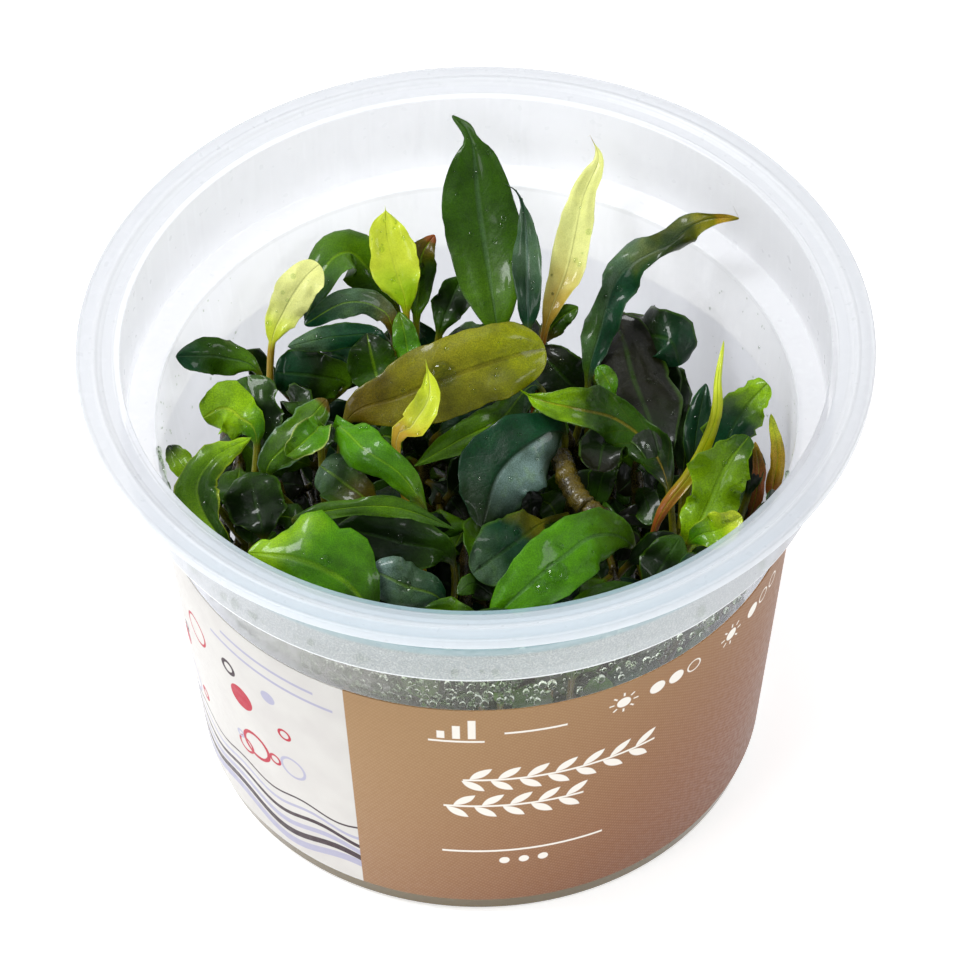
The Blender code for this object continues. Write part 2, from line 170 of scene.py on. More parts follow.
def cup_profile():
    floor = WALL + 0.3
    ledge = SHOULDER_HEIGHT + WALL
    inside = [
        (0.0, floor),
        (body_radius(floor) - WALL - 1.2, floor),
        (body_radius(floor + 1.2) - WALL, floor + 1.2),
        (body_radius(ledge) - WALL, ledge),
        (COLLAR_RADIUS - WALL, ledge),
        (COLLAR_RADIUS - WALL, ledge + 4.0),
        (MOUTH_RADIUS, CUP_HEIGHT - 0.5),
    ]
    flange = [
        (RIDGE_RADIUS - 0.7, CUP_HEIGHT - 0.5),
        (RIDGE_RADIUS - 0.2, CUP_HEIGHT),
        (RIM_RADIUS, CUP_HEIGHT),
        (RIM_RADIUS, CUP_HEIGHT - LIP_DEPTH),
        (RIM_RADIUS - WALL, CUP_HEIGHT - LIP_DEPTH),
        (RIM_RADIUS - WALL - 0.2, CUP_HEIGHT - 1.2),
        (MOUTH_RADIUS + WALL, CUP_HEIGHT - 1.5),
    ]
    outside = [
        (COLLAR_RADIUS, SHOULDER_HEIGHT + 4.0),
        (COLLAR_RADIUS, SHOULDER_HEIGHT),
        (BODY_TOP_RADIUS, SHOULDER_HEIGHT),
        (body_radius(0.5), 0.5),
        (body_radius(0.0) - 0.5, 0.0),
        (0.0, 0.0),
    ]
    return inside + flange + outside


def piece(name, mesh, slot, *nodes):
    """Puts a finished mesh in the scene on the body that carries it."""
    made = bpy.data.objects.new(name, mesh)
    bpy.context.scene.collection.objects.link(made)
    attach(made, "root")
    if nodes:
        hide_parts(*nodes)
    return made


def turned(name, profile, corner):
    """A profile in millimetres, with its corners rounded, turned about the cup's axis."""
    bm = bmesh.new()
    points = [bm.verts.new((radius * MM, 0.0, height * MM)) for radius, height in profile]
    for start, end in zip(points, points[1:]):
        bm.edges.new((start, end))
    corners = [point for point in points if point.co.x > 0.0 and len(point.link_edges) == 2]
    bmesh.ops.bevel(bm, geom=corners, offset=corner * MM, segments=3, profile=0.5, material=-1,
                    affect="VERTICES")
    bmesh.ops.spin(bm, geom=bm.verts[:] + bm.edges[:], axis=(0.0, 0.0, 1.0), angle=math.tau,
                   steps=CUP_STEPS, use_merge=True)
    bmesh.ops.remove_doubles(bm, verts=bm.verts, dist=0.000005)
    bmesh.ops.recalc_face_normals(bm, faces=bm.faces)
    for face in bm.faces:
        face.smooth = True
    mesh = bpy.data.meshes.new(name)
    bm.to_mesh(mesh)
    bm.free()
    mesh.set_sharp_from_angle(angle=math.radians(50))
    return mesh


def object_place(tree):
    return add_node(tree, "ShaderNodeTexCoord").outputs["Object"]


def cup_plastic():
    """Milky polypropylene: wet and clear in the front wall, frosted above the shoulder and behind,
    bluish in the front of the flange as painted shade, with fine bright rings as painted highlights,
    and tinged by the gel at its foot. In front the collar is painted greyer as painted shade, with a
    painted shadow under the lip and a painted highlight on the shoulder's corner; the right of the
    inner wall is painted darker as painted shade, and the walls behind carry a painted glow."""
    finish, tree, shader = new_finish("cup_plastic")
    place = object_place(tree)
    axes = add_node(tree, "ShaderNodeSeparateXYZ", {0: place}).outputs
    height = axes["Z"]
    flat_place = add_node(tree, "ShaderNodeVectorMath", {0: place, 1: (1.0, 1.0, 0.0)}, operation="MULTIPLY")
    radius = add_node(tree, "ShaderNodeVectorMath", {0: flat_place.outputs[0]}, operation="LENGTH")
    radius = sum_up(tree, "DIVIDE", radius.outputs["Value"], MM)
    behind = ramp(tree, axes["Y"], -0.034, 0.004)
    beside = ramp(tree, axes["Y"], -0.060, -0.022)
    collar = ramp(tree, height, (SHOULDER_HEIGHT - 0.3) * MM, (SHOULDER_HEIGHT + 0.5) * MM)
    flange = ramp(tree, radius, COLLAR_RADIUS + 0.1, COLLAR_RADIUS + 0.5)
    upper = ramp(tree, height, (SHOULDER_HEIGHT + 5.3) * MM, (SHOULDER_HEIGHT + 6.1) * MM)
    foot = ramp(tree, height, (LABEL_BOTTOM - 0.2) * MM, (LABEL_BOTTOM + 0.3) * MM, 1.0, 0.0)
    fogged = ramp(tree, axes["X"], -0.036, 0.004, 1.0, 0.0)
    to_right = ramp(tree, axes["X"], 0.010, 0.046)
    # Painted highlight: the shoulder's corner gets a thin bright line in its colour and opacity
    corner = sum_up(tree, "MULTIPLY", ramp(tree, height, (SHOULDER_HEIGHT - 0.25) * MM, SHOULDER_HEIGHT * MM),
                    ramp(tree, height, (SHOULDER_HEIGHT + 0.35) * MM, (SHOULDER_HEIGHT + 0.6) * MM, 1.0, 0.0))
    corner = sum_up(tree, "MULTIPLY", corner, sum_up(tree, "SUBTRACT", 1.0, behind))
    ring_turn = sum_up(tree, "MULTIPLY", sum_up(tree, "SUBTRACT", radius, 52.8), math.tau / RING_SPACING)
    ring = sum_up(tree, "COSINE", ring_turn)
    ring = ramp(tree, ring, -0.3, 0.7)
    uneven = use_group(tree, unevenness, {"Place": place, "Size": 0.014})
    speckle = use_group(tree, unevenness, {"Place": place, "Size": 0.0026})
    # Water that runs down the wall leaves long upright streaks
    streak_place = add_node(tree, "ShaderNodeMapping", {0: place, "Scale": (1.0, 1.0, 0.12)}).outputs[0]
    streaks = use_group(tree, unevenness, {"Place": streak_place, "Size": 0.016})
    body = sum_up(tree, "ADD", sum_up(tree, "MULTIPLY", fogged, FOGGED_BODY - CLEAR_BODY), CLEAR_BODY)
    haze = sum_up(tree, "MAXIMUM", body, sum_up(tree, "MULTIPLY", collar, FROSTED_COLLAR))
    haze = sum_up(tree, "MAXIMUM", haze, sum_up(tree, "MULTIPLY", corner, 0.8))
    haze = sum_up(tree, "MAXIMUM", haze, ramp(tree, behind, 0.0, 1.0, CLEAR_BODY, MILKY_BODY))
    haze = sum_up(tree, "MAXIMUM", haze, sum_up(tree, "MULTIPLY", flange, FROSTED_FLANGE))
    haze = sum_up(tree, "MAXIMUM", haze, sum_up(tree, "MULTIPLY", foot, 0.95))
    grazing = add_node(tree, "ShaderNodeLayerWeight", {"Blend": 0.30}).outputs["Facing"]
    edge = sum_up(tree, "MULTIPLY", sum_up(tree, "MULTIPLY", grazing, grazing), 0.5)
    frosted = sum_up(tree, "MULTIPLY", sum_up(tree, "SUBTRACT", collar, upper),
                     sum_up(tree, "SUBTRACT", 1.0, beside))
    frosting = sum_up(tree, "MULTIPLY", ramp(tree, speckle["Grain"], 0.4, 0.7), frosted)
    wet = sum_up(tree, "ADD", sum_up(tree, "MULTIPLY", ramp(tree, streaks["Grain"], 0.52, 0.70), 0.02),
                 sum_up(tree, "MULTIPLY", frosting, 0.10))
    alpha = sum_up(tree, "ADD", sum_up(tree, "ADD", haze, edge), wet)
    tree.links.new(sum_up(tree, "MINIMUM", alpha, 1.0), shader.inputs["Alpha"])
    pale = mixed(tree, ramp(tree, uneven["Soft"], 0.35, 0.65), tint(222, 223, 228), tint(226, 227, 232))
    # Painted shade: the right of the wall is painted darker against the light that falls on it
    pale = mixed(tree, to_right, pale, tint(196, 197, 202))
    # The flange's rings are painted lighter and darker, painted highlights and shade on its ridges
    pale = mixed(tree, flange, pale, mixed(tree, ring, tint(205, 207, 212), tint(211, 213, 217)))
    # In front the collar is painted greyer than behind as painted shade, over its own frosting speckle
    grey = mixed(tree, ramp(tree, speckle["Grain"], 0.4, 0.7), tint(166, 175, 174), tint(198, 201, 198))
    # Its band just under the lip is painted teal as a painted shadow of the lip
    teal = mixed(tree, upper, grey, tint(146, 184, 192))
    teal = mixed(tree, collar, mixed(tree, fogged, tint(120, 112, 92), tint(200, 196, 182)), teal)
    # The painted highlight on the shoulder's corner
    teal = mixed(tree, corner, teal, tint(236, 240, 240))
    # In front the flange is painted bluish as painted shade, with its rings as painted highlights
    blue = mixed(tree, ring, tint(204, 214, 222), tint(230, 234, 239))
    front = mixed(tree, flange, teal, blue)
    colour = mixed(tree, foot, mixed(tree, beside, front, pale), tint(98, 84, 56))
    tree.links.new(colour, shader.inputs["Base Color"])
    # Painted glow: an emission, strongest on the walls behind, faint on the collar all round and weaker to
    # the right, stands in for light that enters the plastic from behind and comes out again
    inner = sum_up(tree, "MULTIPLY", behind, sum_up(tree, "SUBTRACT", 1.0, flange))
    painted_glow = sum_up(tree, "MULTIPLY", inner, ramp(tree, collar, 0.0, 1.0, 0.30, 0.16))
    painted_glow = sum_up(tree, "MAXIMUM", painted_glow, sum_up(tree, "MULTIPLY", collar, 0.05))
    painted_glow = sum_up(tree, "MULTIPLY", painted_glow, ramp(tree, to_right, 0.0, 1.0, 1.0, 0.5))
    light = mixed(tree, painted_glow, (0.0, 0.0, 0.0, 1.0), tint(248, 250, 255))
    tree.links.new(light, shader.inputs["Emission Color"])
    shader.inputs["Emission Strength"].default_value = 1.0
    rough = sum_up(tree, "ADD", ramp(tree, collar, 0.0, 1.0, 0.10, 0.24),
                   sum_up(tree, "MULTIPLY", uneven["Grain"], 0.12))
    tree.links.new(rough, shader.inputs["Roughness"])
    relief = sum_up(tree, "ADD", uneven["Soft"], sum_up(tree, "MULTIPLY", streaks["Soft"], 0.5))
    relief = sum_up(tree, "ADD", relief, sum_up(tree, "MULTIPLY", frosting, 0.5))
    rings = sum_up(tree, "MULTIPLY", sum_up(tree, "MULTIPLY", ring, flange), 1.2)
    relief = sum_up(tree, "ADD", relief, rings)
    add_bump(tree, shader, relief, 0.30, 0.5)
    shader.inputs["IOR"].default_value = 1.49
    shader.inputs["Specular IOR Level"].default_value = 0.6
    # The faint glow isn't aimed at as a lamp, which keeps the render short
    finish.cycles.emission_sampling = "NONE"
    return finish


unevenness = unevenness_group()
cup_mesh = turned("culture_cup", cup_profile(), CORNER)
cup_mesh.materials.append(cup_plastic())
piece("culture_cup", cup_mesh, "cup_plastic", "cup")

# Label: a printed paper sleeve round the body, brown with a white panel to the left of the front.
# Its white ornaments are plain sprigs, dots and symbols, and a fine raster shows in the brown.
GAP = 0.3
LABEL_TOP = 52.3
LABEL_THICKNESS = 0.25
PANEL_START = -25.0
PANEL_WIDTH = 84.0
INK = tint(238, 232, 222)
CRIMSON = tint(176, 24, 52)
DARK_INK = tint(52, 30, 40)
GREY_INK = tint(168, 166, 188)


def print_group(name, sockets, draw):
    """A print element in millimetres round the label and up it, centred and turned in its plane."""
    inputs = {"Place": "Vector", "Across": "Float", "Up": "Float", "Turn": "Float"}
    inputs.update({socket: "Float" for socket in sockets})
    group, given, made = new_group(name, inputs, {"Mask": "Float"})
    centre = add_node(group, "ShaderNodeCombineXYZ", {0: given["Across"], 1: given["Up"]}).outputs[0]
    offset = add_node(group, "ShaderNodeVectorMath", {0: given["Place"], 1: centre},
                      operation="SUBTRACT").outputs[0]
    turned_place = add_node(group, "ShaderNodeVectorRotate", {"Vector": offset, "Angle": given["Turn"]},
                            rotation_type="Z_AXIS").outputs[0]
    axes = add_node(group, "ShaderNodeSeparateXYZ", {0: turned_place}).outputs
    inside = draw(group, given, turned_place, axes["X"], axes["Y"])
    soft = sum_up(group, "DIVIDE", inside, 0.12)
    mask = add_node(group, "ShaderNodeMath", {0: soft, 1: 0.5}, operation="ADD", use_clamp=True)
    group.links.new(mask.outputs[0], made["Mask"])
    return group


def bar_shape(group, given, place, across, up):
    side = sum_up(group, "SUBTRACT", given["Half Width"], sum_up(group, "ABSOLUTE", across))
    end = sum_up(group, "SUBTRACT", given["Half Height"], sum_up(group, "ABSOLUTE", up))
    return sum_up(group, "MINIMUM", side, end)


def ring_shape(group, given, place, across, up):
    length = add_node(group, "ShaderNodeVectorMath", {0: place}, operation="LENGTH").outputs["Value"]
    outer = sum_up(group, "SUBTRACT", given["Radius"], length)
    inner = sum_up(group, "SUBTRACT", length, given["Hole"])
    return sum_up(group, "MINIMUM", outer, inner)


def sprig_leaf_shape(group, given, place, across, up):
    share = sum_up(group, "DIVIDE", across, given["Half Length"])
    bow = sum_up(group, "SUBTRACT", 1.0, sum_up(group, "MULTIPLY", share, share))
    edge = sum_up(group, "MULTIPLY", bow, given["Half Width"])
    return sum_up(group, "SUBTRACT", edge, sum_up(group, "ABSOLUTE", up))


def wave_shape(group, given, place, across, up):
    turn = sum_up(group, "DIVIDE", sum_up(group, "MULTIPLY", across, math.tau), given["Length"])
    line = sum_up(group, "MULTIPLY", sum_up(group, "SINE", turn), given["Rise"])
    distance = sum_up(group, "ABSOLUTE", sum_up(group, "SUBTRACT", up, line))
    return sum_up(group, "SUBTRACT", given["Half Width"], distance)


def label_marks():
    """The brown side's white ornaments: a group, its centre, its turn in degrees and its sizes."""
    marks = []
    for row, (across, up, leaves) in enumerate([(19.0, 31.5, 7), (16.0, 24.8, 5)]):
        length = 4.2 * leaves
        marks.append((bar, across + length / 2 - 2.0, up, 0, {"Half Width": length / 2, "Half Height": 0.22}))
        for number in range(leaves):
            for side in (-1, 1):
                centre = across + 4.2 * number + 1.1 * (row + side) * 0.5
                sizes = {"Half Length": 2.1, "Half Width": 0.75}
                marks.append((sprig_leaf, centre, up + side * 1.5, -38 * side, sizes))
    for number in range(3):
        height = 0.9 + 0.7 * number
        sizes = {"Half Width": 0.55, "Half Height": height}
        marks.append((bar, 14.0 + 2.2 * number, 42.0 + height, 0, sizes))
    marks.append((bar, 16.2, 41.3, 0, {"Half Width": 4.0, "Half Height": 0.22}))
    marks.append((bar, 27.5, 43.2, 0, {"Half Width": 4.5, "Half Height": 0.22}))
    for across, filled in ((46.0, 2), (66.0, 1)):
        marks.append((ring, across - 5.5, 44.4, 0, {"Radius": 1.1, "Hole": -1.0}))
        for number in range(8):
            angle = math.tau * number / 8
            centre = (across - 5.5 + 1.9 * math.cos(angle), 44.4 + 1.9 * math.sin(angle))
            sizes = {"Half Width": 0.38, "Half Height": 0.14}
            marks.append((bar, *centre, -math.degrees(angle), sizes))
        for number in range(3):
            hole = -1.0 if number < filled else 1.05
            marks.append((ring, across + 3.3 * number, 44.4, 0, {"Radius": 1.3, "Hole": hole}))
    marks.append((bar, 26.0, 13.0, 0, {"Half Width": 12.5, "Half Height": 0.22}))
    for number in range(3):
        marks.append((ring, 23.0 + 3.0 * number, 10.4, 0, {"Radius": 0.8, "Hole": -1.0}))
    return marks


def panel_marks():
    """The white panel's picture: rising bubbles over waves, each with its ink."""
    marks = []
    chance = random.Random(5)
    for number in range(15):
        radius = chance.uniform(0.9, 3.4)
        hole = radius - chance.choice((0.5, 0.7, 9.0))
        centre = (-chance.uniform(6, 46), chance.uniform(17, 38))
        ink = chance.choice((CRIMSON, CRIMSON, DARK_INK, GREY_INK))
        marks.append((ring, *centre, 0, {"Radius": radius, "Hole": hole}, ink))
    for number in range(6):
        sizes = {"Rise": 0.6 + 0.15 * number, "Length": 13.0 + 2 * number, "Half Width": 0.22 + 0.12 * number}
        ink = GREY_INK if number % 2 else DARK_INK
        marks.append((wave, 3.0 * number, 14.0 - 2.1 * number, 0, sizes, ink))
    for number, half in enumerate((9.0, 12.0)):
        marks.append((bar, -14.0, 45.0 - 2.6 * number, 0, {"Half Width": half, "Half Height": 0.3}, GREY_INK))
    return marks


def placed_mark(tree, place, mark):
    group, across, up, turn, sizes = mark[:5]
    settings = {"Place": place, "Across": across, "Up": up, "Turn": math.radians(turn), **sizes}
    return use_group(tree, group, settings)["Mask"]


def label_print():
    finish, tree, shader = new_finish("label_print")
    place = add_node(tree, "ShaderNodeUVMap", uv_map="Round and up").outputs[0]
    axes = add_node(tree, "ShaderNodeSeparateXYZ", {0: place}).outputs
    uneven = use_group(tree, unevenness, {"Place": place, "Size": 9.0})
    # Painted shade: the brown is painted darker to the right and downwards, and a slanting raster shows in it
    to_right = add_node(tree, "ShaderNodeSeparateXYZ", {0: object_place(tree)}).outputs["X"]
    fall = sum_up(tree, "SUBTRACT", sum_up(tree, "MULTIPLY", to_right, 15.0),
                  sum_up(tree, "MULTIPLY", axes["Y"], 0.016))
    brown = mixed(tree, ramp(tree, fall, -1.0, 0.60), tint(160, 126, 88), tint(122, 72, 48))
    raster_place = add_node(tree, "ShaderNodeMapping", {0: place, "Rotation": (0, 0, 0.6)}).outputs[0]
    raster = add_node(tree, "ShaderNodeTexWave", {0: raster_place, "Scale": 0.62, "Distortion": 0.3})
    thread = add_node(tree, "ShaderNodeTexWave", {0: raster_place, "Scale": 0.55, "Distortion": 0.3},
                      bands_direction="Y")
    weave = sum_up(tree, "MULTIPLY", raster.outputs["Fac"], thread.outputs["Fac"])
    brown = mixed(tree, ramp(tree, weave, 0.0, 0.8, 0.0, 0.22), brown, tint(190, 156, 118))
    brown = mixed(tree, ramp(tree, uneven["Grain"], 0.4, 0.7, 0.0, 0.05), brown, tint(120, 84, 60))
    for mark in label_marks():
        brown = mixed(tree, placed_mark(tree, place, mark), brown, INK)
    white = mixed(tree, ramp(tree, uneven["Soft"], 0.3, 0.7), tint(208, 205, 200), tint(201, 197, 193))
    for mark in panel_marks():
        white = mixed(tree, placed_mark(tree, place, mark), white, mark[5])
    right_edge = ramp(tree, axes["X"], -0.06, 0.06)
    left_edge = ramp(tree, axes["X"], -PANEL_WIDTH - 0.06, -PANEL_WIDTH + 0.06, 1.0, 0.0)
    is_brown = sum_up(tree, "MAXIMUM", right_edge, left_edge)
    tree.links.new(mixed(tree, is_brown, white, brown), shader.inputs["Base Color"])
    tree.links.new(ramp(tree, uneven["Grain"], 0.3, 0.7, 0.34, 0.46), shader.inputs["Roughness"])
    add_bump(tree, shader, sum_up(tree, "ADD", weave, uneven["Grain"]), 0.02, 0.4)
    shader.inputs["Specular IOR Level"].default_value = 0.15
    shader.inputs["Coat Weight"].default_value = 0.04
    shader.inputs["Coat Roughness"].default_value = 0.3
    return finish


def label_back():
    """The unprinted inner side of the sleeve, with a painted glow: a white emission over a dark grey base
    colour stands in for light through the paper.
    """
    finish, tree, shader = new_finish("label_back")
    uneven = use_group(tree, unevenness, {"Place": object_place(tree), "Size": 0.004})
    white = mixed(tree, uneven["Soft"], tint(240, 241, 245), tint(236, 237, 242))
    grey = mixed(tree, uneven["Soft"], tint(120, 120, 124), tint(112, 113, 118))
    tree.links.new(grey, shader.inputs["Base Color"])
    tree.links.new(white, shader.inputs["Emission Color"])
    shader.inputs["Emission Strength"].default_value = 1.25
    tree.links.new(ramp(tree, uneven["Grain"], 0.3, 0.7, 0.5, 0.65), shader.inputs["Roughness"])
    finish.cycles.emission_sampling = "NONE"
    return finish


def label_profile():
    inner_low = body_radius(LABEL_BOTTOM) + GAP
    inner_high = body_radius(LABEL_TOP) + GAP
    return [
        (inner_low, LABEL_BOTTOM),
        (inner_high, LABEL_TOP),
        (inner_high + LABEL_THICKNESS, LABEL_TOP),
        (inner_low + LABEL_THICKNESS, LABEL_BOTTOM),
        (inner_low, LABEL_BOTTOM),
    ]


def unroll_label(mesh):
    """Millimetres round the label from the panel's right edge, and up from its lower edge."""
    uv = mesh.uv_layers.new(name="Round and up")
    middle_radius = body_radius((LABEL_BOTTOM + LABEL_TOP) / 2) + GAP
    for face in mesh.polygons:
        middle = math.atan2(face.center.x, -face.center.y)
        outwards = Vector((face.center.x, face.center.y, 0.0)).normalized()
        face.material_index = int(face.normal.dot(outwards) < (0.5 if face.center.y > 0.0 else -0.3))
        for loop in face.loop_indices:
            point = mesh.vertices[mesh.loops[loop].vertex_index].co
            angle = middle + math.remainder(math.atan2(point.x, -point.y) - middle, math.tau)
            round_label = (angle - math.radians(PANEL_START)) * middle_radius
            uv.data[loop].uv = (round_label, point.z / MM - LABEL_BOTTOM)


bar = print_group("Print Bar", ("Half Width", "Half Height"), bar_shape)
ring = print_group("Print Ring", ("Radius", "Hole"), ring_shape)
sprig_leaf = print_group("Print Leaf", ("Half Length", "Half Width"), sprig_leaf_shape)
wave = print_group("Print Wave", ("Rise", "Length", "Half Width"), wave_shape)
label_mesh = turned("paper_sleeve", label_profile(), 0.06)
unroll_label(label_mesh)
label_mesh.materials.append(label_print())
label_mesh.materials.append(label_back())
piece("paper_sleeve", label_mesh, "label_paper", "label")

# Growing gel: a clear amber agar, poured in warm and set, that fills the bottom of the cup.
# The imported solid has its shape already, so it only takes its finish here.
GEL_TOP = 12.0


def gel_finish():
    finish, tree, shader = new_finish("growing_gel")
    uneven = use_group(tree, unevenness, {"Place": object_place(tree), "Size": 0.006})
    place = object_place(tree)
    height = add_node(tree, "ShaderNodeSeparateXYZ", {0: place}).outputs["Z"]
    amber = mixed(tree, uneven["Soft"], tint(150, 138, 92), tint(120, 108, 66))
    # The top of the gel is darker, near black
    darker_top = ramp(tree, height, (GEL_TOP - 0.9) * MM, (GEL_TOP - 0.2) * MM)
    amber = mixed(tree, darker_top, amber, tint(30, 32, 14))
    tree.links.new(amber, shader.inputs["Base Color"])
    tree.links.new(ramp(tree, uneven["Grain"], 0.3, 0.7, 0.08, 0.2), shader.inputs["Roughness"])
    add_bump(tree, shader, uneven["Soft"], 0.2, 0.6)
    shader.inputs["Subsurface Weight"].default_value = 0.2
    shader.inputs["Subsurface Radius"].default_value = (0.004, 0.003, 0.001)
    return finish


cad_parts["growing_gel"].material_slots[0].material = gel_finish()

# Plantlets: ten creeping rhizomes that stand in the gel, knobbly with the scars of old leaves, each
# with its leaves standing out on stalks. They grew, so no two leaves have the same form or colour.
# A leaf has the stem it grows on, the route of its midrib and its width, form, folds and ripples.
STEM_RADIUS = 1.5
STALK_RADIUS = 0.55
BLADE_THICKNESS = 0.55
LEAF_SPACING = 2.2
FACING = Vector((0.0, -0.68, 0.733))
LIFT_STEP = 0.5
LIFTS = 22
COARSE = (8, 9)
FINE = (32, 56)

STEMS = {
    "back": {"foot": (4, 14), "top": (6, 19, 41)},
    "right_back": {"foot": (14, 10), "top": (16, 13, 44)},
    "left_back": {"foot": (-24, 12), "top": (-32, 16, 50)},
    "mid_back": {"foot": (-8, 18), "top": (-10, 24, 45)},
    "mid_left": {"foot": (-18, 2), "top": (-22, 0, 48)},
    "left": {"foot": (-26, -6), "top": (-33, -9, 48)},
    "middle": {"foot": (12, -2), "top": (14.5, 1.5, 48)},
    "right": {"foot": (24, -6), "top": (27.5, -8, 42)},
    "right_edge": {"foot": (34, -4), "top": (41.5, -6, 47)},
    "front": {"foot": (-4, -14), "top": (-6, -19, 40)},
}

FORMS = {
    "ovate": (0.75, 0.70),
    "round": (0.62, 0.42),
    "lance": (0.80, 0.95),
    "early": (0.55, 0.85),
    "strap": (0.50, 0.50),
    "spear": (0.25, 0.60),
}

GREENS = {
    "soot": tint(28, 28, 4),
    "bottle": tint(24, 44, 6),
    "forest": tint(54, 90, 2),
    "moss": tint(84, 126, 2),
    "grass": tint(84, 146, 4),
    "lime": tint(148, 194, 10),
    "spring": tint(208, 222, 58),
    "butter": tint(240, 242, 150),
    "chartreuse": tint(150, 156, 0),
    "olive": tint(134, 130, 26),
    "bronze": tint(98, 82, 10),
    "ochre": tint(186, 150, 44),
    "rust": tint(150, 80, 36),
    "teal": tint(22, 68, 42),
    "steel": tint(84, 112, 84),
    # slate is partly the leaves' own silvery colour and partly a painted sheen for their soft reflections
    "slate": tint(124, 150, 146),
    "plum": tint(58, 46, 30),
}

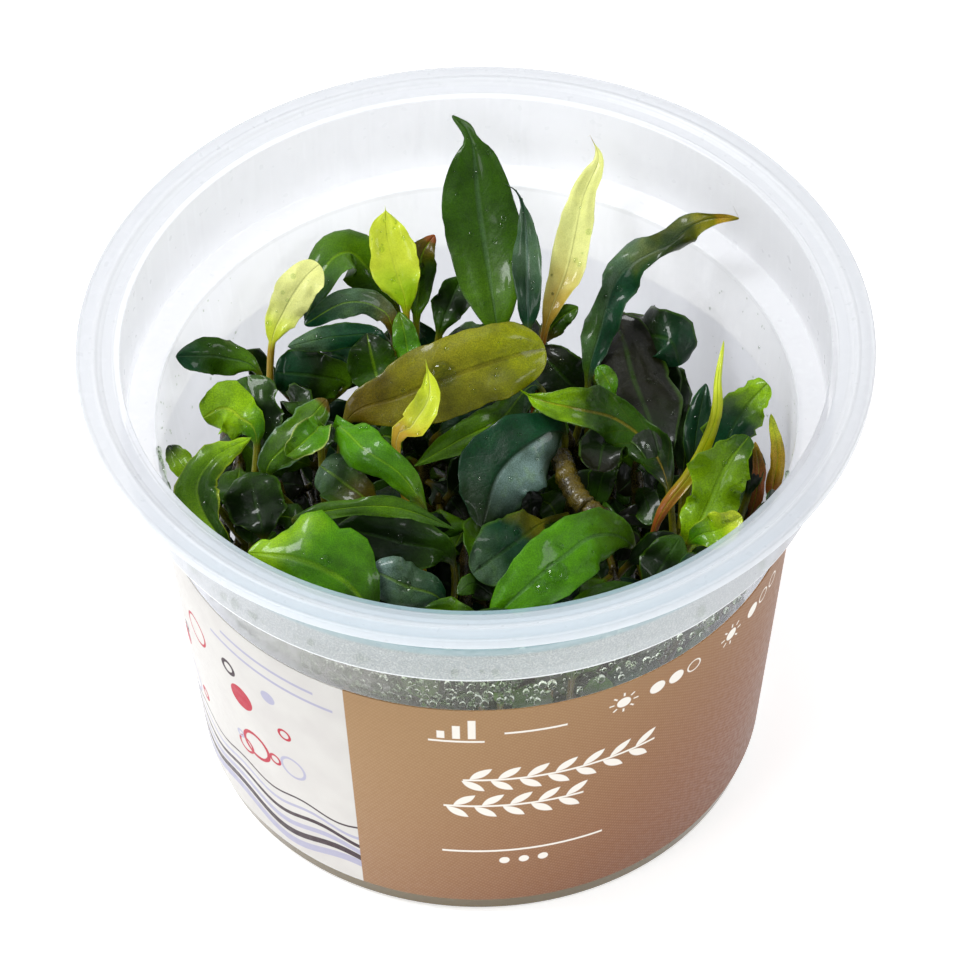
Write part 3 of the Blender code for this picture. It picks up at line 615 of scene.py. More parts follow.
LEAVES = [
    dict(name="tall_back", neck_radius=0.95, hook=-1.6, lobes=0.16, stem="back", width=11.8,
         form="ovate", neck=0.12, fold=8, wave=0.3,
         tones=("moss", "forest", "forest"), vein="steel",
         route=[(3.5, 23.5, 57), (1, 38.5, 68), (0, 46.5, 76), (-1.5, 50, 79)]),
    dict(name="folded_back", stem="back", width=5.6, form="lance", neck=0.2, fold=38, wave=0.2,
         tones=("teal", "steel", "teal"), vein="slate", tip="rust",
         route=[(8, 21.5, 60), (8, 33, 69), (7, 37.5, 73), (4.5, 39.5, 74)]),
    dict(name="yellow_back", lobes=0.3, hook=0.6, stem="back", width=5.6, form="lance", neck=0.05,
         fold=15, wave=0.5,
         tones=("ochre", "butter", "butter"), stalk="rust", vein="butter", tip="ochre",
         route=[(10.5, 23, 58), (14, 30.5, 64), (16.5, 38.5, 71), (19, 43, 75), (17.5, 46, 77)]),
    dict(name="brown_tip_back", stem="mid_back", width=5.0, form="ovate", fold=14, wave=0.8,
         tones=("moss", "forest", "bronze"), tip="rust",
         route=[(-9, 29, 55), (-8.5, 32.5, 59), (-8, 36, 62), (-6, 38.5, 64)]),
    dict(name="small_dark_back", stem="mid_back", width=5.6, form="ovate",
         tones=("forest", "bottle", "forest"),
         route=[(-5.5, 27, 54), (-4, 30, 57), (-2, 33.5, 60)]),
    dict(name="arched_back", stem="mid_back", width=8.4, form="lance", fold=10, wave=0.8, twist=40,
         tones=("forest", "moss", "teal"),
         route=[(-12, 32.5, 54), (-16, 35, 60), (-19, 36, 63), (-22.5, 33, 63), (-26, 26, 58)]),
    dict(name="lime_upright", stem="mid_back", width=7.6, form="ovate", neck=0.06, fold=10,
         tones=("lime", "spring", "spring"), vein="spring", stalk="ochre",
         route=[(-10.5, 30, 56), (-11.5, 33, 60), (-13, 36.5, 65), (-13.5, 41, 68)]),
    dict(name="pale_yellow", stem="left_back", width=6.2, form="round", fold=6,
         tones=("spring", "butter", "butter"), vein="butter", stalk="ochre",
         route=[(-31, 22.5, 57), (-29, 25.5, 61), (-26, 28, 65), (-23.5, 29.5, 67)]),
    dict(name="grey_arc", stem="mid_back", width=4.4, form="strap", fold=-14, wave=0.3,
         tones=("bronze", "steel", "teal"), stalk="bronze",
         route=[(-12.5, 27, 54), (-15, 29, 58), (-20, 28, 60), (-26, 25.5, 58)]),
    dict(name="broad_dark_left", stem="left_back", width=8.2, form="round", fold=-8,
         tones=("moss", "bottle", "teal"),
         route=[(-20, 19, 51), (-24.5, 18.5, 54), (-30.5, 17.5, 56)]),
    dict(name="upper_left_fold", stem="mid_back", width=4.2, form="ovate", fold=-16,
         tones=("teal", "teal", "steel"),
         route=[(-13.5, 23.5, 56), (-20.5, 22, 59), (-28.5, 20, 59)]),
    dict(name="mid_green", stem="mid_back", width=8.0, form="ovate", wave=0.5,
         tones=("forest", "forest", "bottle"),
         route=[(-14, 16.5, 50), (-15.5, 19.5, 55), (-16.5, 23.5, 58)]),
    dict(name="small_green", stem="mid_back", width=4.2, form="ovate",
         tones=("moss", "grass", "moss"),
         route=[(-10, 18.5, 53), (-10.5, 22, 57), (-11.5, 26, 60)]),
    dict(name="dark_middle", stem="right_back", width=8.0, form="ovate", fold=6,
         tones=("soot", "bottle", "soot"),
         route=[(17, 19, 46), (13.5, 20, 51), (9, 24.5, 53)]),
    dict(name="right_broad", lobes=0.7, ruffle=0.7, stem="right_back", width=9.6, form="round",
         fold=-10, wave=0.9,
         tones=("plum", "bottle", "teal"),
         route=[(19.5, 27, 52), (25, 24, 56), (29.5, 21, 58), (31, 18.5, 55)]),
    dict(name="black_broad", stem="right_back", width=11.6, form="early", fold=-8, wave=0.3,
         tones=("soot", "soot", "bottle"), vein="forest",
         route=[(21, 28, 53), (24, 15.5, 54.5), (26.5, 5.5, 54.5), (28, -2, 51.5)]),
    dict(name="bright_right", lobes=0.45, stem="right", width=7.2, form="ovate", neck=0.12,
         fold=12, wave=0.6,
         tones=("bottle", "forest", "lime"), vein="ochre", tip="rust",
         route=[(28.5, -5.5, 53), (26, 3.5, 53), (21, 6.5, 56), (15, 5, 60), (9.5, 6, 61),
                (5.5, 10, 60)]),
    dict(name="long_wavy", neck_radius=0.9, lobes=0.8, ruffle=2.3, hook=2.4, stem="right_back",
         width=6.4, form="lance", fold=16, wave=0.9, waves=2.5,
         tones=("forest", "steel", "olive"), right="teal", tip="ochre", vein="steel", rim="steel",
         route=[(17, 16, 54), (19, 21.5, 60), (22, 27, 66), (29, 28.5, 71), (34, 29.5, 75),
                (39, 30, 78)]),
    dict(name="long_mid_green", stem="middle", width=5.8, form="lance", fold=12, wave=0.3,
         tones=("teal", "moss", "moss"),
         route=[(9.5, 13.5, 56), (3.5, 5, 58), (-2.5, 1, 58), (-9.5, -2.5, 56)]),
    dict(name="silver_dark", stem="middle", width=12.6, form="ovate", fold=-16, wave=0.3,
         tones=("bottle", "slate", "bottle"), right="teal", vein="soot", rim="teal",
         route=[(13, 2, 58), (8, -2, 60), (3, -6.5, 58), (0.5, -12.5, 53)]),
    dict(name="big_olive", lobes=0.16, curl=-0.5, stem="mid_left", width=12.2, form="round",
         fold=8, wave=0.3,
         tones=("bronze", "olive", "chartreuse"), vein="bronze",
         route=[(-19.5, 6, 57), (-11.5, 8, 60), (-3, 10.5, 62), (5, 13, 63), (10.5, 15.5, 62)]),
    dict(name="left_point", stem="left_back", width=5.8, form="ovate", fold=-10,
         tones=("moss", "forest", "teal"), vein="steel",
         route=[(-33, 14, 60), (-38, 14, 63), (-42, 12.5, 65), (-45, 11.5, 66)]),
    dict(name="dark_left", stem="left", width=8.4, form="round", fold=8,
         tones=("forest", "bottle", "forest"),
         route=[(-31.5, 0, 55), (-33, 5, 59), (-34.5, 11, 62)]),
    dict(name="lime_lobe", lobes=0.5, stem="left", width=7.6, form="round", fold=-12, wave=0.9,
         tones=("grass", "lime", "lime"), vein="spring",
         route=[(-33, 1, 58), (-35.5, 3.5, 61), (-38, 4.5, 62), (-41, 3.5, 61)]),
    dict(name="cut_end", lobes=0.35, stem="mid_left", width=6.0, form="strap", fold=-14,
         tones=("forest", "moss", "moss"), tip="bronze", rim="slate",
         route=[(-31.5, -4, 56), (-27, 0.5, 60), (-22.5, 6, 62)]),
    dict(name="grey_round", stem="mid_left", width=7.6, form="round", fold=8,
         tones=("bronze", "forest", "steel"),
         route=[(-16.5, -9.5, 55), (-20, -6.5, 57), (-23.5, -3, 57)]),
    dict(name="left_curl", lobes=0.4, stem="mid_left", width=5.2, form="ovate", fold=24,
         tones=("moss", "grass", "moss"), rim="butter",
         route=[(-23.5, 1, 60), (-24, -2.5, 64), (-26.5, -5, 63.5), (-28.5, -5.5, 62)]),
    dict(name="glossy_arch", curl=-0.8, stem="mid_left", width=6.4, form="lance", fold=-16, wave=0.3,
         tones=("grass", "grass", "moss"), tip="bronze",
         route=[(-20.5, 1, 60), (-20, -2.5, 64.5), (-16.5, -7.5, 65), (-11.5, -10.5, 63),
                (-7.5, -13.5, 58)]),
    dict(name="yellow_curl", stem="front", width=4.8, form="lance", neck=0.1, fold=26, wave=0.8,
         tones=("ochre", "spring", "spring"), vein="butter", stalk="ochre",
         route=[(-12, -5.5, 62), (-9.5, -1.5, 64), (-7, 2.5, 66), (-7.5, 7.5, 69)]),
    dict(name="dark_round_left", stem="left", width=9.0, form="round", fold=-12,
         tones=("bottle", "bottle", "forest"),
         route=[(-32, -14.5, 54), (-33, -11, 57), (-34, -5, 58)]),
    dict(name="far_left_small", stem="left", width=3.8, form="ovate", fold=12,
         tones=("grass", "lime", "bottle"),
         route=[(-41.5, -8.5, 60), (-43.5, -7.5, 62), (-46, -4, 63)]),
    dict(name="bright_curl", lobes=0.5, curl=-1.2, stem="left", width=7.0, form="lance", fold=22,
         wave=0.4, roll=-20,
         tones=("lime", "moss", "lime"), right="forest", rim="spring",
         route=[(-37, -17.5, 55), (-40.5, -14.5, 59), (-41.5, -11, 62), (-38.5, -8, 65),
                (-33.5, -4.5, 65)]),
    dict(name="right_dark_upright", stem="right", width=4.0, form="ovate", fold=10,
         tones=("bottle", "teal", "teal"),
         route=[(32, -2, 52), (33, 2.5, 58), (34.5, 8, 62)]),
    dict(name="right_lobed", lobes=0.9, stem="right", width=6.6, form="round", fold=10, wave=1.0,
         tones=("teal", "teal", "lime"), rim="lime",
         route=[(35.5, -3.5, 54), (38, 0, 60), (40.5, 2.5, 63), (43.5, 4, 66)]),
    dict(name="right_spear", grown_width=2.0, stem="right", width=2.6, form="spear", fold=0,
         tones=("rust", "chartreuse", "spring"), stalk="rust",
         route=[(26.5, -8, 48), (32, -3.5, 55), (35.5, 0.5, 62), (36, 5, 66), (37, 10, 69)]),
    dict(name="right_wavy", lobes=0.6, ruffle=0.7, stem="right", width=8.2, form="strap", fold=14, wave=0.8,
         tones=("lime", "lime", "forest"),
         route=[(31.5, -14, 50), (34.5, -10.5, 56), (37, -7, 60), (40.5, -3, 62)]),
    dict(name="right_curl", stem="right", width=6.0, form="round", fold=26,
         tones=("grass", "lime", "spring"), rim="spring",
         route=[(31.5, -14, 51), (35.5, -14.5, 54), (39, -14.5, 57)]),
    dict(name="edge_shoot", stem="right_edge", width=2.4, form="spear",
         tones=("rust", "ochre", "spring"), stalk="rust",
         route=[(44, -4, 50), (45, -1.5, 56), (44, 1.5, 62)]),
    dict(name="edge_red_shoot", stem="right_edge", width=2.4, form="spear",
         tones=("rust", "rust", "ochre"), stalk="rust",
         route=[(41, -5, 48), (42, -2.5, 53), (41.5, 0.5, 57)]),
    dict(name="front_dark", stem="front", width=8.2, form="ovate", fold=8, wave=0.4,
         tones=("forest", "bottle", "bottle"),
         route=[(-4, -15.5, 49), (-11.5, -16, 54), (-21, -14.5, 56)]),
    dict(name="grey_teal", stem="middle", width=9.2, form="round", fold=8,
         tones=("olive", "teal", "steel"),
         route=[(9.5, -8, 49), (5, -16, 53), (-1, -22.5, 54)]),
    dict(name="front_bluish", stem="front", width=7.4, form="round", fold=-8, wave=0.3,
         tones=("teal", "steel", "slate"),
         route=[(-5.5, -24.5, 50), (-11, -25.5, 55), (-16, -24, 57)]),
    dict(name="front_small", stem="front", width=4.2, form="ovate",
         tones=("forest", "moss", "forest"),
         route=[(-1, -29.5, 50), (-4.5, -30, 54), (-8, -30, 55)]),
    dict(name="front_right_dark", stem="right", width=7.0, form="ovate", fold=-10,
         tones=("bottle", "bottle", "forest"),
         route=[(25.5, -20.5, 47), (27.5, -19, 52), (30, -16.5, 55)]),
    dict(name="front_right_low", stem="right", width=5.2, form="ovate", fold=8,
         tones=("forest", "forest", "moss"),
         route=[(27.5, -24, 48), (20.5, -26, 52), (13.5, -28.5, 54)]),
    dict(name="front_left_green", lobes=0.6, curl=-1.0, stem="front", width=13.5, form="ovate",
         fold=-14, wave=0.5,
         tones=("forest", "grass", "lime"), vein="lime",
         route=[(-15, -28.5, 52), (-20, -27, 58), (-26.5, -25.5, 61), (-34, -23, 60)]),
    dict(name="front_right_green", curl=-0.9, stem="right", width=10.0, form="ovate", fold=10, wave=0.4,
         tones=("moss", "grass", "grass"), vein="steel",
         route=[(23, -14, 50), (17.5, -18, 57), (12, -24.5, 59), (6.5, -29.5, 58),
                (1.5, -32, 54)]),
]

DARK_TONES = ("soot", "bottle", "plum", "teal")
PALE_TONES = ("spring", "butter", "chartreuse")
SLOTS = {"teal": "leaf_teal", "steel": "leaf_teal", "slate": "leaf_teal", "moss": "leaf_mid",
         "forest": "leaf_dark", "grass": "leaf_lime", "lime": "leaf_lime", "spring": "leaf_yellow",
         "butter": "leaf_yellow", "ochre": "leaf_yellow", "olive": "leaf_olive"}


def along(route, share):
    """The point at a share of the way along the smooth line through the route."""
    lengths = [(end - start).length for start, end in zip(route, route[1:])]
    left = share * sum(lengths)
    number = 0
    while number < len(lengths) - 1 and left > lengths[number]:
        left -= lengths[number]
        number += 1
    t = left / lengths[number]
    start, end = route[number], route[number + 1]
    before = route[number - 1] if number > 0 else 2 * start - end
    after = route[number + 2] if number + 2 < len(route) else 2 * end - start
    return 0.5 * (2 * start + (end - before) * t
                  + (2 * before - 5 * start + 4 * end - after) * t ** 2
                  + (3 * start - before - 3 * end + after) * t ** 3)


def blade_share(route, share):
    """0 where the blade starts on its stalk, 1 at its tip, and less than 0 along the stalk."""
    lengths = [(end - start).length for start, end in zip(route, route[1:])]
    stalk = lengths[0] / sum(lengths)
    return (share - stalk) / (1.0 - stalk)


def blade_width(leaf, blade, grown):
    """The half width at a share of the blade, from the leaf's form."""
    rise, fall = FORMS[leaf["grown_form"] if grown and "grown_form" in leaf else leaf["form"]]
    neck = leaf.get("neck", 0.0)
    spread = min(blade / (1.0 - neck), 1.0)
    peak = rise / (rise + fall)
    highest = peak ** rise * (1.0 - peak) ** fall
    width = leaf["grown_width"] if grown and "grown_width" in leaf else leaf["width"]
    broad = width / 2 * spread ** rise * (1.0 - spread) ** fall / highest
    if grown and "neck_radius" in leaf and blade > 0.5:
        return max(broad, leaf["neck_radius"] * min(1.0, 12.0 * (1.0 - blade)) ** 0.5)
    return max(broad, STALK_RADIUS * min(1.0, 3.0 * (1.0 - blade)))


def growth(leaf, blade, across):
    """What growing did to a blade: (share of its width, height) of the skin there, in millimetres."""
    seed = sum(map(ord, leaf["name"]))
    size = min(1.0, leaf["width"] / 8.0)
    side = math.copysign(1.0, across)
    edge = across ** 2
    lobes = leaf.get("lobes", 0.25)
    margin = 1.0 + lobes * noise.noise((blade * 4.0, side * 2.0, seed)) * abs(across)
    margin += 0.4 * lobes * noise.noise((blade * 13.0, side * 2.0, seed)) * edge
    channel = -0.22 * math.exp(-(across / 0.18) ** 2)
    bend = 1.3 * noise.noise((blade * 1.8, 3.0, seed))
    dents = 1.4 * noise.noise((blade * 3.2, across * 1.4 + 7.0, seed)) * abs(across)
    dents += leaf.get("curl", 0.0) * edge * abs(across)
    puckers = 0.28 * noise.noise((blade * 11.0, across * 3.5, seed + 5.0))
    ripple = 0.34 * math.sin(math.tau * 4.0 * blade + seed + side) * edge * edge
    ruffle = leaf.get("ruffle", 0.0) * math.sin(math.tau * 3.6 * blade + side) * edge
    return margin, size * (channel + bend + dents + puckers + ripple) + ruffle


def leaf_point(leaf, route, turn, share, grown=False):
    """A point on the skin of a leaf: turn goes round its section, share goes from root to tip."""
    centre = along(route, share)
    if share in (0.0, 1.0):
        return centre
    blade = max(0.0, blade_share(route, share))
    ahead = (along(route, min(share + 0.02, 1.0)) - along(route, max(share - 0.02, 0.0))).normalized()
    side = ahead.cross(FACING).normalized()
    roll = math.radians(leaf.get("roll", 0.0) + leaf.get("twist", 0.0) * blade)
    side = Matrix.Rotation(roll, 3, ahead) @ side
    up = side.cross(ahead)
    half = blade_width(leaf, blade, grown)
    flat = min(1.0, blade * 5.0)
    thick = STALK_RADIUS + (BLADE_THICKNESS / 2 - STALK_RADIUS) * flat
    thick *= min(1.0, 6.0 * (1.0 - share) + 0.4)
    across = math.cos(turn)
    fold = math.radians(leaf.get("fold", 10.0)) * flat
    ripple = math.sin(math.tau * leaf.get("waves", 1.5) * blade + (0.0 if across > 0 else 2.0))
    edge = leaf.get("wave", 0.2) * flat * across ** 2 * ripple * min(1.0, half / 1.5)
    if grown:
        hooked = max(0.0, (blade - 0.8) / 0.2) ** 2
        centre = centre + side * leaf.get("hook", 0.0) * hooked
        margin, height = growth(leaf, blade, across)
        half *= 1.0 + (margin - 1.0) * flat
        edge += height * flat * min(1.0, 8.0 * (1.0 - blade))
        thick *= 1.0 - 0.45 * flat * abs(across)
    rise = abs(across) * half * math.sin(fold) + edge
    return centre + side * (across * half * math.cos(fold)) + up * (rise + thick * math.sin(turn))


def stations(rings):
    """Shares of the way from root to tip, closer together at both ends."""
    return [0.5 - 0.5 * math.cos(math.pi * number / rings) for number in range(rings + 1)]


def stem_order(leaf):
    """How many leaves grow above this one on its stem: the higher the blade, the higher its root."""
    same = [other for other in LEAVES if other["stem"] == leaf["stem"]]
    ranked = sorted(same, key=lambda other: -other["route"][0][2])
    return [other["name"] for other in ranked].index(leaf["name"])


def leaf_route(leaf, order, lift, detour):
    """The stalk's start on the stem, then the blade's own route lifted clear of those below."""
    x, y, z = STEMS[leaf["stem"]]["top"]
    start = Vector(leaf["route"][0])
    out = Vector((start.x - x, start.y - y, 0.0)).normalized()
    out = Matrix.Rotation(math.radians(detour), 3, "Z") @ out
    root = Vector((x, y, z - LEAF_SPACING * (order + 0.5)))
    root += out * (STEM_RADIUS + GAP + STALK_RADIUS)
    return [root] + [Vector(point) + FACING * (lift * LIFT_STEP) for point in leaf["route"]]


def coarse_points(leaf, route):
    around, rings = COARSE
    turns = [math.tau * number / around for number in range(around)]
    return [leaf_point(leaf, route, turn, share) for share in stations(rings) for turn in turns]


def packed_route(leaf):
    """The leaf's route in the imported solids, found again by the corners of its box."""
    low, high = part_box("leaf_" + leaf["name"])
    order = stem_order(leaf)
    for lift in range(LIFTS):
        for detour in (0, 30, -30, 60, -60, 95, -95):
            route = leaf_route(leaf, order, lift, detour)
            points = coarse_points(leaf, route)
            found_low = Vector([min(point[axis] for point in points) for axis in range(3)])
            found_high = Vector([max(point[axis] for point in points) for axis in range(3)])
            if (found_low - low / MM).length + (found_high - high / MM).length < 0.05:
                return route
    raise ValueError("no packed place for leaf " + leaf["name"])


def add_skin(bm, size, skin_point, lengthwise):
    """Rolls a flat grid up into a closed skin, welded along its seam and at its two ends.
    Its UVs run across the upper side from 0 to 1, across the underside from 2 to 3, and lengthwise."""
    around, rings = size
    skin = bmesh.new()
    uv = skin.loops.layers.uv.verify()
    verts = bmesh.ops.create_grid(skin, x_segments=around, y_segments=rings, size=0.5)["verts"]
    shares = stations(rings)
    place = {}
    for vert in verts:
        turn = math.tau * round((vert.co.x + 0.5) * around) / around
        place[vert] = (turn, shares[round((vert.co.y + 0.5) * rings)])
    for face in skin.faces:
        face.smooth = True
        under = 2.0 * (sum(place[vert][0] for vert in face.verts) > math.pi * len(face.verts))
        for loop in face.loops:
            turn, share = place[loop.vert]
            loop[uv].uv = (0.5 + 0.5 * math.cos(turn) + under, lengthwise(share))
    for vert in verts:
        vert.co = skin_point(*place[vert]) * MM
    bmesh.ops.remove_doubles(skin, verts=skin.verts, dist=0.000002)
    bmesh.ops.recalc_face_normals(skin, faces=skin.faces)
    join_shape(bm, mesh_of(skin, "skin"))


def join_shape(bm, shape):
    """Adds a shape's faces to a growing mesh and drops the shape."""
    bm.from_mesh(shape)
    bpy.data.meshes.remove(shape)


def mesh_of(bm, name):
    mesh = bpy.data.meshes.new(name)
    bm.to_mesh(mesh)
    bm.free()
    return mesh


def blade_veins_group():
    """The midrib and side veins of a blade, from its UVs: where they are, and their relief."""
    outputs = {"Midrib": "Float", "Veins": "Float", "Edge": "Float", "Right": "Float", "Blade": "Float"}
    group, given, made = new_group("Blade Veins", {"Place": "Vector"}, outputs)
    axes = add_node(group, "ShaderNodeSeparateXYZ", {0: given["Place"]}).outputs
    across = sum_up(group, "SUBTRACT", sum_up(group, "MODULO", axes["X"], 2.0), 0.5)
    distance = sum_up(group, "MULTIPLY", sum_up(group, "ABSOLUTE", across), 2.0)
    rising = sum_up(group, "SUBTRACT", sum_up(group, "MULTIPLY", axes["Y"], 9.0),
                    sum_up(group, "MULTIPLY", distance, 1.6))
    lines = sum_up(group, "SINE", sum_up(group, "MULTIPLY", rising, math.tau))
    group.links.new(ramp(group, distance, 0.02, 0.10, 1.0, 0.0), made["Midrib"])
    group.links.new(ramp(group, lines, 0.90, 1.0), made["Veins"])
    group.links.new(ramp(group, distance, 0.86, 0.98), made["Edge"])
    group.links.new(ramp(group, across, -0.02, 0.02), made["Right"])
    group.links.new(axes["Y"], made["Blade"])
    return group


def leaf_skin(leaf):
    """A wet leaf: its colour from stalk to tip, veins, a thin margin, mottling and a glossy film."""
    finish, tree, shader = new_finish("leaf_" + leaf["name"])
    uv = add_node(tree, "ShaderNodeUVMap").outputs[0]
    place = object_place(tree)
    parts = use_group(tree, veins, {"Place": uv})
    uneven = use_group(tree, unevenness, {"Place": place, "Size": 0.006})
    cells = use_group(tree, unevenness, {"Place": place, "Size": 0.0016})
    wander = sum_up(tree, "MULTIPLY", sum_up(tree, "SUBTRACT", uneven["Soft"], 0.5), 0.5)
    blade = sum_up(tree, "ADD", parts["Blade"], wander)
    base, middle, tip = (GREENS[tone] for tone in leaf["tones"])
    if "right" in leaf:
        middle = mixed(tree, parts["Right"], middle, GREENS[leaf["right"]])
        base = mixed(tree, parts["Right"], base, GREENS[leaf["right"]])
    colour = mixed(tree, ramp(tree, blade, 0.05, 0.5), base, middle)
    colour = mixed(tree, ramp(tree, blade, 0.5, 0.95), colour, tip)
    stalk = GREENS[leaf.get("stalk", "olive")]
    colour = mixed(tree, ramp(tree, parts["Blade"], -0.1, 0.08, 1.0, 0.0), colour, stalk)
    dark = leaf["tones"][1] in DARK_TONES
    vein = GREENS[leaf.get("vein", "forest" if dark else "lime")]
    colour = mixed(tree, sum_up(tree, "MULTIPLY", parts["Midrib"], 0.35), colour, vein)
    colour = mixed(tree, sum_up(tree, "MULTIPLY", parts["Veins"], 0.03), colour, vein)
    rim = GREENS[leaf.get("rim", "moss" if dark else leaf["tones"][1])]
    colour = mixed(tree, sum_up(tree, "MULTIPLY", parts["Edge"], 0.45), colour, rim)
    if "tip" in leaf:
        colour = mixed(tree, ramp(tree, blade, 0.93, 1.0), colour, GREENS[leaf["tip"]])
    smooth = 0.3 if leaf["tones"][1] in PALE_TONES else 1.0
    shade = ramp(tree, uneven["Soft"], 0.30, 0.62, 0.5 * smooth, 0.0)
    colour = mixed(tree, shade, colour, tint(96, 120, 60), "MULTIPLY")
    light = ramp(tree, cells["Soft"], 0.48, 0.72, 0.0, 0.3 * smooth)
    colour = mixed(tree, light, colour, tint(210, 220, 120), "SOFT_LIGHT")
    grain = ramp(tree, cells["Grain"], 0.35, 0.65, 0.45 * smooth, 0.0)
    colour = mixed(tree, grain, colour, tint(130, 150, 100), "MULTIPLY")
    tree.links.new(colour, shader.inputs["Base Color"])
    tree.links.new(ramp(tree, uneven["Grain"], 0.3, 0.7, 0.36, 0.5), shader.inputs["Roughness"])
    skin = sum_up(tree, "ADD", cells["Soft"], sum_up(tree, "MULTIPLY", cells["Grain"], 0.25))
    sunk = sum_up(tree, "ADD", sum_up(tree, "MULTIPLY", parts["Midrib"], 0.6),
                  sum_up(tree, "MULTIPLY", parts["Veins"], 0.06))
    relief = sum_up(tree, "SUBTRACT", skin, sunk)
    add_bump(tree, shader, relief, 0.22, 0.8)
    shader.inputs["Coat Weight"].default_value = 0.35
    shader.inputs["Coat Roughness"].default_value = 0.10
    shader.inputs["IOR"].default_value = 1.42
    shader.inputs["Specular IOR Level"].default_value = 0.25
    return finish


veins = blade_veins_group()
leaf_routes = {}
for leaf in LEAVES:
    leaf_routes[leaf["name"]] = packed_route(leaf)


def grown_leaf(leaf, route, turn, share):
    return leaf_point(leaf, route, turn, share, grown=True)


for leaf in LEAVES:
    route = leaf_routes[leaf["name"]]
    bm = bmesh.new()
    add_skin(bm, FINE, lambda turn, share: grown_leaf(leaf, route, turn, share),
             lambda share: blade_share(route, share))
    leaf_piece = mesh_of(bm, "grown_" + leaf["name"])
    leaf_piece.materials.append(leaf_skin(leaf))
    slot = SLOTS.get(leaf["tones"][1], "leaf_dark")
    piece("grown_" + leaf["name"], leaf_piece, slot, "leaf_" + leaf["name"])

# Rhizomes: each runs up out of the gel and under its leaves, ringed by the scars of shed leaves,
# yellow-brown and wet where it is bare.
RHIZOME_SIZE = (14, 70)
SCAR_SPACING = 1.5


def stem_route(name):
    """Up out of the gel, across to the plantlet's place and straight up past its leaves' roots."""
    x, y, top = STEMS[name]["top"]
    foot_x, foot_y = STEMS[name]["foot"]
    bottom = GEL_TOP + GAP
    leaves = sum(leaf["stem"] == name for leaf in LEAVES)
    knee = (x, y, top - LEAF_SPACING * leaves - 1.0)
    points = ((foot_x, foot_y, bottom), (foot_x, foot_y, bottom + 3.0), knee, (x, y, top))
    return [Vector(point) for point in points]


def tube_point(route, radius, turn, share):
    """A point on the skin of a round stem, with a swelling at each scar."""
    centre = along(route, share)
    if share in (0.0, 1.0):
        return centre
    ahead = (along(route, min(share + 0.01, 1.0)) - along(route, max(share - 0.01, 0.0))).normalized()
    side = ahead.orthogonal().normalized()
    length = sum((end - start).length for start, end in zip(route, route[1:]))
    scar = math.exp(-(math.remainder(share * length, SCAR_SPACING) / 0.22) ** 2)
    uneven = noise.noise(centre * 0.6 + Vector((0.0, 0.0, turn * 0.7)))
    around = radius * (0.92 + 0.14 * scar + 0.16 * uneven)
    around *= min(1.0, 9.0 * (1.0 - share) + 0.35)
    return centre + Matrix.Rotation(turn, 3, ahead) @ side * around


def rhizome_skin():
    finish, tree, shader = new_finish("rhizome_skin")
    uv = add_node(tree, "ShaderNodeUVMap").outputs[0]
    place = object_place(tree)
    height = add_node(tree, "ShaderNodeSeparateXYZ", {0: place}).outputs["Z"]
    uneven = use_group(tree, unevenness, {"Place": place, "Size": 0.003})
    fibre_place = add_node(tree, "ShaderNodeMapping", {0: uv, "Scale": (9.0, 1.0, 1.0)}).outputs[0]
    fibres = use_group(tree, unevenness, {"Place": fibre_place, "Size": 0.8})
    colour = mixed(tree, ramp(tree, uneven["Soft"], 0.35, 0.65), tint(96, 82, 24), tint(44, 36, 10))
    # Painted shade: the stems are painted darker lower down, under the leaves
    colour = mixed(tree, ramp(tree, height, 0.036, 0.050, 0.85, 0.0), colour, tint(26, 24, 10))
    colour = mixed(tree, ramp(tree, fibres["Grain"], 0.5, 0.7, 0.0, 0.4), colour, tint(140, 124, 52))
    tree.links.new(colour, shader.inputs["Base Color"])
    tree.links.new(ramp(tree, uneven["Grain"], 0.3, 0.7, 0.2, 0.45), shader.inputs["Roughness"])
    add_bump(tree, shader, uneven["Grain"], 0.25, 0.8)
    shader.inputs["Coat Weight"].default_value = 0.4
    shader.inputs["Coat Roughness"].default_value = 0.08
    return finish


rhizome_finish = rhizome_skin()
for name in STEMS:
    route = stem_route(name)
    bm = bmesh.new()
    add_skin(bm, RHIZOME_SIZE, lambda turn, share: tube_point(route, STEM_RADIUS, turn, share),
             lambda share: share)
    mesh = mesh_of(bm, "rhizome_" + name)
    mesh.materials.append(rhizome_finish)
    piece("rhizome_" + name, mesh, "stem", "stem_" + name)

# Small leaves: the many dark ones that fill the clump between and under the big leaves and press
# against the wall. They stand round the same rhizomes and side shoots, each clear of the big ones.
SMALL_SIZE = (12, 20)
WALL_LEAF_SIZE = (12, 24)
SMALL_TONES = [
    ("forest", "bottle", "forest"),
    ("bottle", "bottle", "soot"),
    ("moss", "forest", "forest"),
    ("bottle", "teal", "bottle"),
    ("moss", "moss", "grass"),
]
SIDE_SHOOTS = [
    (-36, 6), (-30, -20), (-18, -30), (-2, -34), (14, -30), (27, -27), (38, 6), (37, -16), (-12, -8),
    (2, -4), (8, 8), (-24, 10), (-4, 30), (20, 24), (30, 12), (-16, 30), (4, -20), (20, -16),
    (-40, -10), (-28, 24), (30, 26), (12, 32), (-38, -2), (-22, -12), (-10, -24), (8, -34), (22, -33),
    (33, -20), (-26, -30), (-8, 10), (14, 14), (-16, 20), (24, 4), (10, -12), (16, -6), (-30, 4), (-6, 2),
    (-38, 16), (38, 16), (-2, -12), (34, -4), (4, 24), (-14, -16), (28, -14), (-26, -3), (-18, -6),
    (-34, -16), (-40, 2), (-24, -22), (-28, 16), (20, 8), (26, 20), (-36, -8), (2, 4), (-4, 16), (22, -24),
]
WALL_CLEARANCE = 1.5
WALL_LEAVES = 260
SHOOT_SIZE = (8, 30)
SHOOT_LEAVES = 20
SHOOT_SPACING = 1.3


